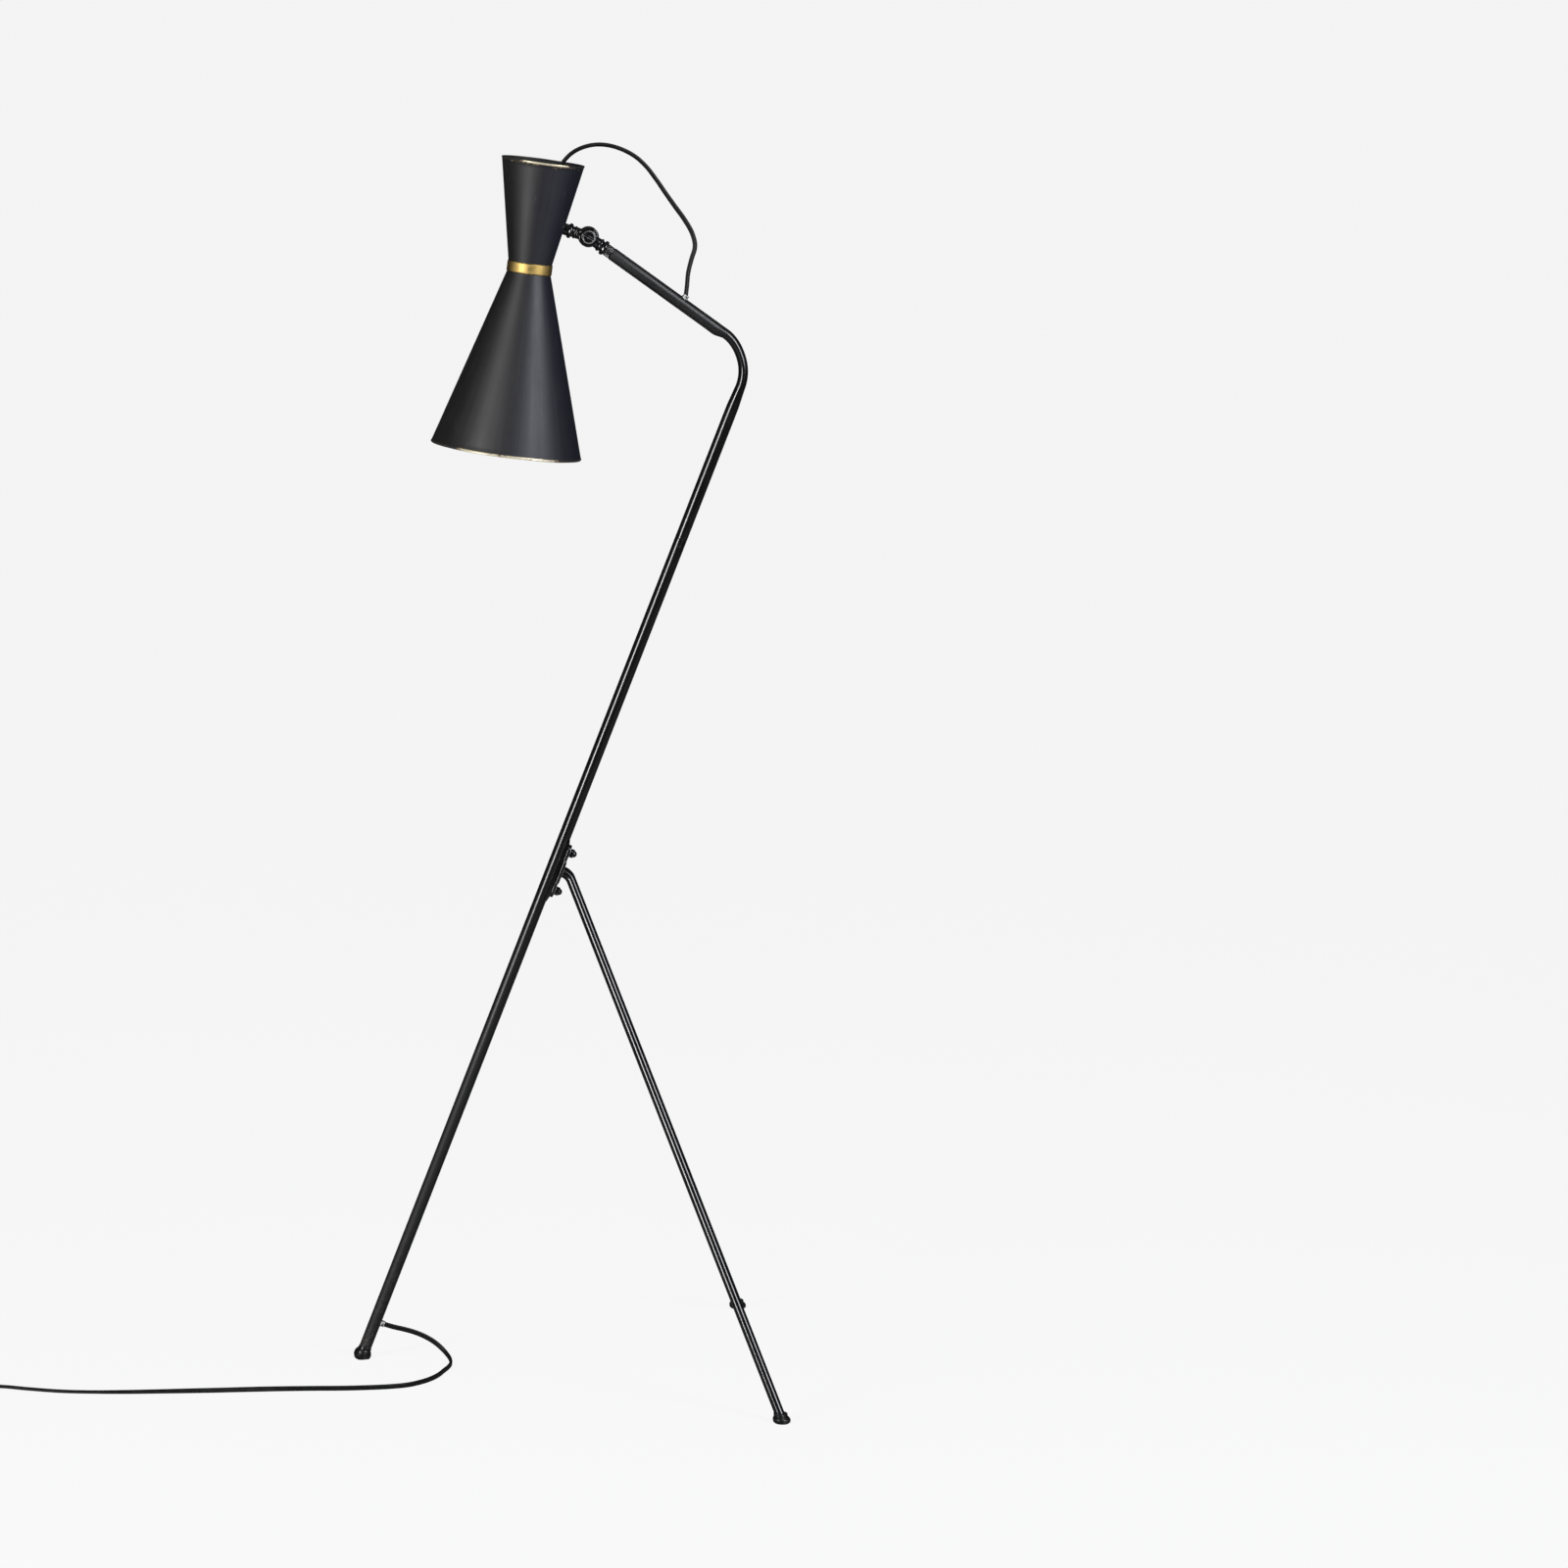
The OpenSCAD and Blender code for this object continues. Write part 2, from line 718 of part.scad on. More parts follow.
module shade_upper() {
    color(black) difference() {
        in_head() rotate_extrude($fn = 128) polygon([
            [waist_r - shade_wall, 0], [waist_r, 0], [waist_r, neck_h], [top_d / 2, upper_h],
            [top_d / 2 - shade_wall, upper_h], [waist_r - shade_wall, neck_h]
        ]);
        at_stem(0) cylinder(r = stem_r, h = 60);
    }
}

module shade_lower() {
    color(black) in_head() rotate_extrude($fn = 128) polygon([
        [waist_r - shade_wall, 0], [waist_r, 0], [waist_r, -neck_h], [mouth_d / 2, -lower_h],
        [mouth_d / 2 - shade_wall, -lower_h], [waist_r - shade_wall, -neck_h]
    ]);
}

module waist_sleeve() {
    color(steel) in_head() translate([0, 0, -neck_h])
        pipe(waist_r - shade_wall, waist_r - shade_wall - 1.2, band_h);
}

module waist_band() {
    edge = 0.4;
    color(brass) in_head() rotate_extrude($fn = 128) polygon([
        [waist_r, -neck_h], [band_d / 2 - edge, -neck_h], [band_d / 2, -neck_h + edge],
        [band_d / 2, neck_h - edge], [band_d / 2 - edge, neck_h], [waist_r, neck_h]
    ]);
}

module holder_nipple() {
    color(brass) in_head() translate([0, 0, 34]) pipe(5, 3.6, 20);
}

module nipple_nut() {
    color(brass) in_head() translate([0, 0, bracket_z + bracket_t]) difference() {
        hex(14, 3);
        translate([0, 0, -1]) cylinder(r = 5, h = 6);
    }
}

module cord_grip() {
    collar_h = 8;
    color(bakelite) in_head() difference() {
        union() {
            translate([0, 0, grip_low]) cylinder(r = 7, h = collar_h);
            translate([0, 0, grip_low + collar_h])
                cylinder(r1 = 7, r2 = 4.6, h = grip_top - grip_low - collar_h);
        }
        translate([0, 0, 40]) cylinder(r = 5, h = 14);
        translate([0, 0, 50]) cylinder(r = bush_bore_r, h = 20);
    }
}

module holder_cap() {
    color(bakelite) in_head() difference() {
        rotate_extrude() difference() {
            polygon([
                [0, 24], [holder_r - 1.6, 24], [holder_r - 1.6, 31], [14, 38], [8, bracket_z],
                [0, bracket_z]
            ]);
            polygon([
                [-1, 23], [holder_r - 4, 23], [holder_r - 4, 30], [12, 35], [-1, 35]
            ]);
        }
        translate([0, 0, 34]) cylinder(r = 5, h = 12);
    }
}

module holder_body() {
    color(bakelite) in_head() rotate_extrude() difference() {
        union() {
            translate([shell_r, -7]) square([holder_r - shell_r, 31]);
            translate([holder_r - 1, -7]) square([2.2, 5]);
        }
        translate([holder_r - 1.2, 3]) square([2, 1.2]);
        translate([holder_r - 1.2, 8]) square([2, 1.2]);
    }
}

module holder_insert() {
    color("#e9e6df") in_head() difference() {
        translate([0, 0, 24]) cylinder(r = 13.8, h = 5);
        translate([0, 0, 20]) cylinder(r = 2, h = 20);
    }
}

module centre_contact() {
    color(brass) in_head() {
        translate([0, 0, 23.2]) cylinder(r = 4, h = 0.8);
        translate([0, 0, 24]) cylinder(r = 2, h = 7);
    }
}

module screw_shell() {
    color(brass) in_head() translate([0, 0, -3]) pipe(shell_r, 13.5, 27);
}

module bulb_cap() {
    color(steel) in_head() {
        translate([0, 0, glass_top]) cylinder(r = bulb_cap_r, h = 23);
        translate([0, 0, glass_top + 23]) cylinder(r1 = 9, r2 = 5, h = 3);
        translate([0, 0, glass_top + 26]) cylinder(r = 4.5, h = 1.6);
    }
}

// Half the outline of the globe and its neck, moved in by an inset
function bulb_outline(inset) = [
    [0, glass_top], [bulb_cap_r - inset, glass_top], [bulb_cap_r - inset, -14],
    for (k = [0:16])
        let (lean = 17.5 - k * 107.5 / 16)
        [(globe_r - inset) * cos(lean), globe_z + (globe_r - inset) * sin(lean)]
];

module bulb_glass() {
    skin = 0.9;
    color("#f4f2ea") in_head() rotate_extrude($fn = 96) difference() {
        polygon(bulb_outline(0));
        polygon(bulb_outline(skin));
        translate([-1, glass_top - 1]) square([1 + bulb_cap_r - skin, 2]);
    }
}

// ---- Lead, switch and plug ----

module head_cord() {
    color(rubber) oval_sweep(head_route, [0, 1, 0], [lead_t / 2, lead_w / 2]);
}

module lead_run() {
    color(rubber) oval_sweep(lead_route, [0, 0, 1], [lead_w / 2, lead_t / 2], 18, 90);
}

module lead_link() {
    color(rubber) oval_sweep(link_route, [0, 0, 1], [lead_w / 2, lead_t / 2]);
}

module lead_tail() {
    color(rubber) oval_sweep(tail_route, [0, 0, 1], [lead_w / 2, lead_t / 2]);
}

// The outer shape of the coil: layers of two turns each, spiralling in and out in turn
module lead_coil() {
    half = turn_pitch + lead_w / 2;
    color(rubber) translate([coil_x, coil_y, coil_z]) difference() {
        cylinder(r = coil_r + half, h = coil_layers * layer_pitch);
        translate([0, 0, -1]) cylinder(r = coil_r - half, h = coil_layers * layer_pitch + 2);
    }
}

module coil_tie() {
    half = turn_pitch + lead_w / 2 + 0.2;
    high = coil_layers * layer_pitch + 0.4;
    tie_w = 7;
    color("#33343a") translate([coil_x + coil_r, coil_y - tie_w / 2, coil_z - 0.2]) difference() {
        translate([-half - tie_t, 0, -tie_t]) cube([2 * (half + tie_t), tie_w, high + 2 * tie_t]);
        translate([-half, -1, 0]) cube([2 * half, tie_w + 2, high]);
    }
}

// The switch's outline from above, with round ends
module switch_outline(inset) {
    end_r = switch_w / 2 - inset;
    straight = switch_l / 2 - switch_w / 2;
    square([2 * straight, 2 * end_r], center = true);
    for (k = [-1, 1])
        translate([k * straight, 0]) circle(r = end_r);
}

module switch_place() {
    translate([switch_x, switch_y, 0.2]) children();
}

module lead_slot() {
    translate([0, 0, 6.3]) cube([switch_l + 20, lead_w + 0.4, lead_t + 0.4], center = true);
}

module switch_base() {
    color(black) switch_place() difference() {
        linear_extrude(switch_split) switch_outline(0);
        translate([0, 0, switch_skin]) linear_extrude(switch_split) switch_outline(switch_skin);
        lead_slot();
    }
    color(black) switch_place() for (k = [-1, 1])
        translate([k * 17, 7.2 * k, switch_skin]) pipe(2.4, 1.2, switch_split - switch_skin);
}

module switch_cover() {
    rocker_l = 25;
    rocker_w = 13;
    color(black) switch_place() difference() {
        translate([0, 0, switch_split]) linear_extrude(switch_h - switch_split) switch_outline(0);
        translate([0, 0, switch_split - 1])
            linear_extrude(switch_h - switch_split - switch_skin + 1) switch_outline(switch_skin);
        translate([-rocker_l / 2, -rocker_w / 2, switch_split]) cube([rocker_l, rocker_w, 20]);
        for (k = [-1, 1])
            translate([k * 17, 7.2 * k, switch_split]) cylinder(r = 1.2, h = 20);
    }
    color(black) switch_place() for (k = [-1, 1])
        translate([0, k * (rocker_w / 2 + 0.9), switch_split + 3]) rocker_post();
}

// A post that holds one end of the rocker's axle
module rocker_post() {
    high = switch_h - switch_split - switch_skin - 3;
    difference() {
        translate([-3, -0.8, 0]) cube([6, 1.6, high]);
        translate([0, 3, rocker_z - switch_split - 3]) rotate([90, 0, 0])
            cylinder(r = rocker_r + 0.05, h = 6);
    }
}

module switch_screws() {
    color(steel) switch_place() for (k = [-1, 1])
        translate([k * 17, 7.2 * k, switch_skin]) {
            cylinder(r = 1.2, h = switch_h - switch_skin);
            translate([0, 0, switch_h - switch_skin]) difference() {
                cylinder(r = 2.3, h = 1);
                translate([-3, -0.3, 0.5]) cube([6, 0.6, 2]);
            }
        }
}

module switch_terminals() {
    color(brass) switch_place() for (k = [-1, 1])
        translate([k * 9.5 - 2.5, -4, switch_skin]) cube([5, 8, 2.2]);
}

module switch_rocker() {
    half_l = 11;
    half_w = 6;
    rocker_low = -3.4;
    rocker_high = 6.6;
    color("#3a3a3c") switch_place() translate([0, 0, rocker_z]) rotate([0, rocker_rest, 0]) {
        rotate([90, 0, 0]) translate([0, 0, -half_w]) linear_extrude(2 * half_w) polygon([
            [-half_l, rocker_high - 2], [-half_l + 1, rocker_high - 0.6], [0, rocker_high - 2.2],
            [half_l - 1, rocker_high - 0.6], [half_l, rocker_high - 2], [half_l, 1],
            [4, rocker_low], [-4, rocker_low], [-half_l, 1]
        ]);
        rotate([90, 0, 0]) cylinder(r = rocker_r, h = 16, center = true);
    }
}

// +X along the plug, from the middle of the back of its body
module plug_place() {
    translate([plug_x, plug_y, plug_h / 2 + 0.2]) rotate(90) children();
}

module plug_body() {
    block_l = plug_l - 4;
    color(black) plug_place() difference() {
        union() {
            translate([0, (plug_h - plug_w) / 2, -plug_h / 2]) cube([block_l, plug_w - plug_h, plug_h]);
            for (k = [-1, 1])
                translate([0, k * (plug_w - plug_h) / 2, 0]) rotate([0, 90, 0])
                    cylinder(d = plug_h, h = block_l);
            translate([block_l, 3 - plug_w / 2, 0.6 - plug_h / 2]) cube([4, plug_w - 6, plug_h - 1.2]);
            translate([-boot_l, 0, 0]) rotate([0, 90, 0]) cylinder(r1 = 4, r2 = 6.5, h = boot_l);
        }
        for (k = [-1, 1])
            translate([plug_grip, k * pin_gap / 2, 0]) rotate([0, 90, 0])
                cylinder(r = plug_root_r, h = plug_l);
    }
}

// Two round pins with chamfered tips, each held in the plug by a thinner root
module plug_pins() {
    tip = 1.5;
    root = plug_l - plug_grip;
    color(steel) plug_place() for (k = [-1, 1])
        translate([plug_grip, k * pin_gap / 2, 0]) rotate([0, 90, 0]) {
            cylinder(r = plug_root_r, h = root);
            translate([0, 0, root]) cylinder(r = plug_pin_r, h = plug_pin_l - tip);
            translate([0, 0, root + plug_pin_l - tip])
                cylinder(r1 = plug_pin_r, r2 = plug_pin_r - 0.8, h = tip);
        }
}

pole_lower();
pole_upper();
pole_sleeve();
pole_set_screw();
front_foot();
pole_lug();
clamp_studs();
leg_plate();
clamp_washers();
clamp_nuts();
rear_leg_near();
rear_leg_far();
rear_foot_near();
rear_foot_far();
pole_bush();
arm_bush();
inner_lead();
arm_ferrule();
arm_lock_ring();
knuckle_arm_half();
friction_washer();
knuckle_screw();
knuckle_washer();
knuckle_nut();
knuckle_head_half();
stem_lock_ring();
stem_collar();
saddle_washer();
stem_nut();
holder_bracket();
shade_upper();
shade_lower();
waist_sleeve();
waist_band();
holder_nipple();
nipple_nut();
cord_grip();
holder_cap();
holder_body();
holder_insert();
centre_contact();
screw_shell();
bulb_cap();
bulb_glass();
head_cord();
lead_run();
lead_link();
lead_coil();
lead_tail();
coil_tie();
switch_base();
switch_cover();
switch_screws();
switch_terminals();
switch_rocker();
plug_body();
plug_pins();
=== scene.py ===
import json
from math import atan, cos, exp, pi, radians, sin, tan

import bmesh
import bpy
from mathutils import Matrix, Vector, noise
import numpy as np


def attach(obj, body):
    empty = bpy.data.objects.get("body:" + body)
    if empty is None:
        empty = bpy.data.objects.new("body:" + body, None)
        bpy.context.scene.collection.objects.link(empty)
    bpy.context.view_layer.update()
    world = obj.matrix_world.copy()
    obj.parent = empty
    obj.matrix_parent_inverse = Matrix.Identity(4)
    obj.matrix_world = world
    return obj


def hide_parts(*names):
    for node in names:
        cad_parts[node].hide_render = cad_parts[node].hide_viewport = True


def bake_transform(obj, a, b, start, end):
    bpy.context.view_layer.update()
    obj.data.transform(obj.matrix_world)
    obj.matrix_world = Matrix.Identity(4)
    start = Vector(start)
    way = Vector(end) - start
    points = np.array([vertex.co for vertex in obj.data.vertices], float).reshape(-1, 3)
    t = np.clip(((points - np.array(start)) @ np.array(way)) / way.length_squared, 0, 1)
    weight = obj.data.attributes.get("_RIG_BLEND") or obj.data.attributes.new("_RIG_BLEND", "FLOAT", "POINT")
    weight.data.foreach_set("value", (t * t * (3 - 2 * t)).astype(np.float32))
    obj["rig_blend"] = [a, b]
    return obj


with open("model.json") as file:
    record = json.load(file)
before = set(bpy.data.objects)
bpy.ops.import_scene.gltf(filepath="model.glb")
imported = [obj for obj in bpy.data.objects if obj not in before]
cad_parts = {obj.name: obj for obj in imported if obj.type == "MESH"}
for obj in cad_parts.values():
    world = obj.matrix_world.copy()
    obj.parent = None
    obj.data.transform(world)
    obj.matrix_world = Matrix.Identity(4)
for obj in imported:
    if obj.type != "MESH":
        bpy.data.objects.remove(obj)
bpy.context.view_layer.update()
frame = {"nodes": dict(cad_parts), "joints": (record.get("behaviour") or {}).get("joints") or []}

MM = 0.001
TAU = 2 * pi

# ---- The lamp's own measures, as in the CAD source: millimetres, and angles in radians ----

POLE_R = 8.0
POLE_WALL = 1.5
POLE_LEAN = radians(19.3)
POLE_RUN = 1412.0
ARM_RUN = 261.0
ARM_DROP = radians(33.8)
BEND_R = 58.0
SEAM_AT = 1157.0
LEG_R = 6.35
LEG_WALL = 1.2
REAR_X = 261.505
REAR_Y = 306.5
PLATE_AT = 697.0
PLATE_FACE = 13.4
LEG_GAP = 15.0
LEG_REACH = 9.5
LEG_BEND_R = 18.0
SHADE_TILT = radians(5.5)
TOP_R = 53.0
MOUTH_R = 97.0
WAIST_R = 28.2
UPPER_H = 137.6
LOWER_H = 236.8
NECK_H = 6.7
BAND_R = 29.0
STEM_H = 55.0
STEM_REACH = 33.0
KNUCKLE = Vector(next(j for j in frame["joints"] if j["name"] == "head_tilt")["pos_m"])
TURN = pi / 2 + POLE_LEAN - ARM_DROP
BEND_TANGENT = BEND_R * tan(TURN / 2)
UPPER_SLOPE = (TOP_R - WAIST_R) / (UPPER_H - NECK_H)
UPPER_ANGLE = atan(UPPER_SLOPE)
KNUCKLE_X = WAIST_R + (STEM_H - NECK_H) * UPPER_SLOPE + STEM_REACH * cos(UPPER_ANGLE)
KNUCKLE_Z = STEM_H - STEM_REACH * sin(UPPER_ANGLE)
GRIP_TOP = 64.5
CENTRE_X = 263.495
POLE_EXIT = 53.5
ARM_EXIT = 146.4
GROMMET_END = POLE_R + 2.6
ARM_END = 37.0
ACROSS = Vector((0, 1, 0))

ARM_DIR = Vector((cos(ARM_DROP), 0, -sin(ARM_DROP)))
ARM_UP = Vector((sin(ARM_DROP), 0, cos(ARM_DROP)))
POLE_DIR = Vector((sin(POLE_LEAN), 0, cos(POLE_LEAN)))
POLE_OUT = Vector((cos(POLE_LEAN), 0, -sin(POLE_LEAN)))


def mm(x, y, z):
    return Vector((x, y, z)) * MM


def pole_pt(s, off=0.0):
    """s mm up the pole from its foot, off mm to its under side."""
    return (Vector((-CENTRE_X, 0, 0)) + s * POLE_DIR + off * POLE_OUT) * MM


def arm_pt(t, off=0.0):
    """t mm down the arm from the knuckle, off mm above its middle."""
    return KNUCKLE + (t * ARM_DIR + off * ARM_UP) * MM


def at(place, turn):
    """A frame at place, turned about Y."""
    return Matrix.Translation(place) @ Matrix.Rotation(turn, 4, "Y")


def pole_frame(s):
    return at(pole_pt(s), POLE_LEAN)


def arm_frame(t):
    return at(arm_pt(t), pi / 2 + ARM_DROP)


HEAD = at(KNUCKLE, SHADE_TILT) @ Matrix.Translation(mm(-KNUCKLE_X, 0, -KNUCKLE_Z))


def stem_frame(s):
    hub = Matrix.Translation(mm(KNUCKLE_X, 0, KNUCKLE_Z))
    return HEAD @ hub @ Matrix.Rotation(UPPER_ANGLE - pi / 2, 4, "Y") @ Matrix.Translation((0, 0, s * MM))


def knuckle_frame(y):
    return Matrix.Translation(KNUCKLE) @ Matrix.Rotation(pi / 2, 4, "X") @ Matrix.Translation((0, 0, y * MM))


def head_pt(x, z):
    return HEAD @ mm(x, 0, z)


def heading(path, i):
    """The way a path of points runs at point i."""
    return (path[min(i + 1, len(path) - 1)] - path[max(i - 1, 0)]).normalized()


def ease(x):
    """0 to 1 with a slow start and end."""
    return x * x * (3 - 2 * x)


def add_object(name, data):
    made = bpy.data.objects.new(name, data)
    bpy.context.scene.collection.objects.link(made)
    return made


# ---- Camera ----

CAMERA_PLACE = (-0.5764, -7.986, 2.021)
CAMERA_LENS = 143.35
CAMERA_YAW, CAMERA_PITCH, CAMERA_ROLL = radians(6.0145), radians(8.82), radians(2.22)


def make_camera():
    """Looks along +Y, turned by its yaw, tipped down by its pitch and leaning by its roll."""
    data = bpy.data.cameras.new("camera")
    data.sensor_width = 36.0
    data.lens = CAMERA_LENS
    data.clip_start = 0.05
    data.clip_end = 400.0
    camera = add_object("camera", data)
    yaw, pitch, roll = CAMERA_YAW, CAMERA_PITCH, CAMERA_ROLL
    ahead = Vector((sin(yaw) * cos(pitch), cos(yaw) * cos(pitch), -sin(pitch)))
    level = Vector((cos(yaw), -sin(yaw), 0))
    above = level.cross(ahead)
    x_axis = cos(roll) * level + sin(roll) * above
    y_axis = cos(roll) * above - sin(roll) * level
    turn = Matrix((x_axis, y_axis, -ahead)).transposed()
    camera.matrix_world = Matrix.Translation(CAMERA_PLACE) @ turn.to_4x4()
    bpy.context.scene.camera = camera


make_camera()


# ---- Mesh tools ----

def finish_mesh(name, me, material, body=None, nodes=(), slot=None, sharp=38, flow=None):
    """Smooth shading, materials, the texture's own coordinates, and the body it rides on."""
    me.shade_smooth()
    me.set_sharp_from_angle(angle=radians(sharp))
    layer = me.attributes.new("flow", "FLOAT_VECTOR", "POINT")
    for i, v in enumerate(me.vertices):
        layer.data[i].vector = flow[i] if flow else v.co
    piece = add_object(name, me)
    for m in material if isinstance(material, (list, tuple)) else [material]:
        me.materials.append(m)
    if body:
        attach(piece, body)
    if nodes:
        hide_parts(*nodes)
    return piece


def weld(me, flow, gap=2e-7):
    """Merges points that coincide, such as the middle of a lathe's end, and keeps the flow."""
    bm = bmesh.new()
    bm.from_mesh(me)
    layer = bm.verts.layers.float_vector.new("keep")
    bm.verts.ensure_lookup_table()
    for v, f in zip(bm.verts, flow):
        v[layer] = f
    bmesh.ops.remove_doubles(bm, verts=bm.verts, dist=gap)
    bmesh.ops.recalc_face_normals(bm, faces=bm.faces)
    kept = [Vector(v[layer]) for v in bm.verts]
    bm.verts.layers.float_vector.remove(layer)
    bm.to_mesh(me)
    bm.free()
    return kept


def grid(name, points, flow, material, rings_close=False, row_slots=None, **rest):
    """A net of rows, each a closed ring of points. rings_close joins the last row to the first."""
    rows, cols = len(points), len(points[0])
    verts = [p for row in points for p in row]
    faces = []
    slots = []
    last = rows if rings_close else rows - 1
    for i in range(last):
        n = (i + 1) % rows
        for j in range(cols):
            k = (j + 1) % cols
            faces.append((i * cols + j, i * cols + k, n * cols + k, n * cols + j))
            slots.append(row_slots[i] if row_slots else 0)
    if not rings_close:
        for row in (0, rows - 1):
            middle = sum((Vector(p) for p in points[row]), Vector()) / cols
            if max((Vector(p) - middle).length for p in points[row]) > 1e-6:
                faces.append([row * cols + j for j in range(cols)])
                slots.append(row_slots[min(row, rows - 2)] if row_slots else 0)
    me = bpy.data.meshes.new(name)
    me.from_pydata(verts, [], faces)
    me.polygons.foreach_set("material_index", slots)
    kept = weld(me, [f for row in flow for f in row])
    return finish_mesh(name, me, material, flow=kept, **rest)


def rounded(corners, closed=False, step=0.35):
    """Corners (r, z, fillet) joined by straight lines, with each corner rounded to its fillet."""
    out = []
    count = len(corners)
    for i, corner in enumerate(corners):
        here = Vector(corner[:2])
        fillet = corner[2] if len(corner) > 2 else 0
        if fillet <= 0 or (not closed and i in (0, count - 1)):
            out.append(here)
            continue
        before = Vector(corners[i - 1][:2]) - here
        after = Vector(corners[(i + 1) % count][:2]) - here
        half = before.angle(after) / 2
        cut = min(fillet / tan(half), before.length * 0.49, after.length * 0.49)
        radius = cut * tan(half)
        a = here + before.normalized() * cut
        b = here + after.normalized() * cut
        middle = here + (before.normalized() + after.normalized()).normalized() * (cut / cos(half))
        steps = max(3, min(10, int(radius * (pi - 2 * half) / step) + 1))
        for k in range(steps + 1):
            f = k / steps
            p = a.lerp(b, f) - middle
            out.append(middle + p.normalized() * radius)
    return out


def lathe(name, profile, place, material, cols=64, closed=False, warp=None, row_slots=None, **rest):
    """Turns a profile of (r, z) in mm about place's +Z."""
    mean = sum(abs(p[0]) for p in profile) / len(profile)
    points, flow = [], []
    for r, z in profile:
        ring, lines = [], []
        for j in range(cols):
            a = TAU * j / cols
            dr, dz = warp(a, r, z) if warp else (0.0, 0.0)
            ring.append(place @ mm((r + dr) * cos(a), (r + dr) * sin(a), z + dz))
            lines.append(mm(mean * cos(a), mean * sin(a), z))
        points.append(ring)
        flow.append(lines)
    return grid(name, points, flow, material, rings_close=closed, row_slots=row_slots, **rest)


def tube(name, path, radii, material, wall=0.0, cols=40, start=0.0, **rest):
    """A tube along path, in metres. radii are (across, other) in mm, with across near the Y axis."""
    ways = []
    for i in range(len(path)):
        ahead = heading(path, i)
        side = (ACROSS - ACROSS.dot(ahead) * ahead).normalized()
        ways.append((side, ahead.cross(side)))
    run = [start * MM]
    for a, b in zip(path, path[1:]):
        run.append(run[-1] + (b - a).length)

    def ring(i, inset):
        side, other = ways[i]
        ra, rb = radii[i][0] - inset, radii[i][1] - inset
        return [
            path[i] + (side * ra * cos(TAU * j / cols) + other * rb * sin(TAU * j / cols)) * MM
            for j in range(cols)
        ]

    def lines(i):
        r = sum(radii[i]) / 2 * MM
        return [Vector((r * cos(TAU * j / cols), r * sin(TAU * j / cols), run[i])) for j in range(cols)]

    order = list(range(len(path)))
    points = [ring(i, 0) for i in order]
    flow = [lines(i) for i in order]
    if wall:
        points += [ring(i, wall) for i in reversed(order)]
        flow += [lines(i) for i in reversed(order)]
    return grid(name, points, flow, material, rings_close=bool(wall), **rest)


def arc(middle, x_way, y_way, radius, start, end, steps):
    """Points round middle, in metres, from angle start to end; radius is in mm."""
    return [
        middle + radius * MM * (cos(a) * x_way + sin(a) * y_way)
        for a in (start + (end - start) * k / steps for k in range(steps + 1))
    ]


def line(a, b, step):
    """Points from a to b, without b, about step metres apart."""
    count = max(1, round((b - a).length / step))
    return [a.lerp(b, k / count) for k in range(count)]


def soften(name, node, material, bevel=0.4, segments=2, angle=32, body=None, slot=None, edge=None):
    """A copy of a CAD node with flat faces made whole and its sharp edges rounded off by bevel mm.
    edge is the paint of the rounded edges, where it differs."""
    source = frame["nodes"][node]
    bm = bmesh.new()
    bm.from_mesh(source.data)
    bmesh.ops.remove_doubles(bm, verts=bm.verts, dist=2e-6)
    bmesh.ops.dissolve_limit(
        bm, angle_limit=radians(0.6), verts=bm.verts, edges=bm.edges, delimit={"NORMAL"}
    )
    bmesh.ops.recalc_face_normals(bm, faces=bm.faces)
    edges = [
        e for e in bm.edges
        if len(e.link_faces) == 2 and e.calc_face_angle(0) > radians(angle)
    ]
    if bevel and edges:
        bmesh.ops.bevel(
            bm, geom=edges, offset=bevel * MM, offset_type="OFFSET", segments=segments,
            profile=0.6, affect="EDGES", clamp_overlap=True, harden_normals=False,
            material=1 if edge else -1,
        )
    me = bpy.data.meshes.new(name)
    bm.to_mesh(me)
    bm.free()
    paints = [material, edge] if edge else material
    return finish_mesh(name, me, paints, body=body, nodes=(node,), slot=slot, sharp=40)


# ---- Material tools ----

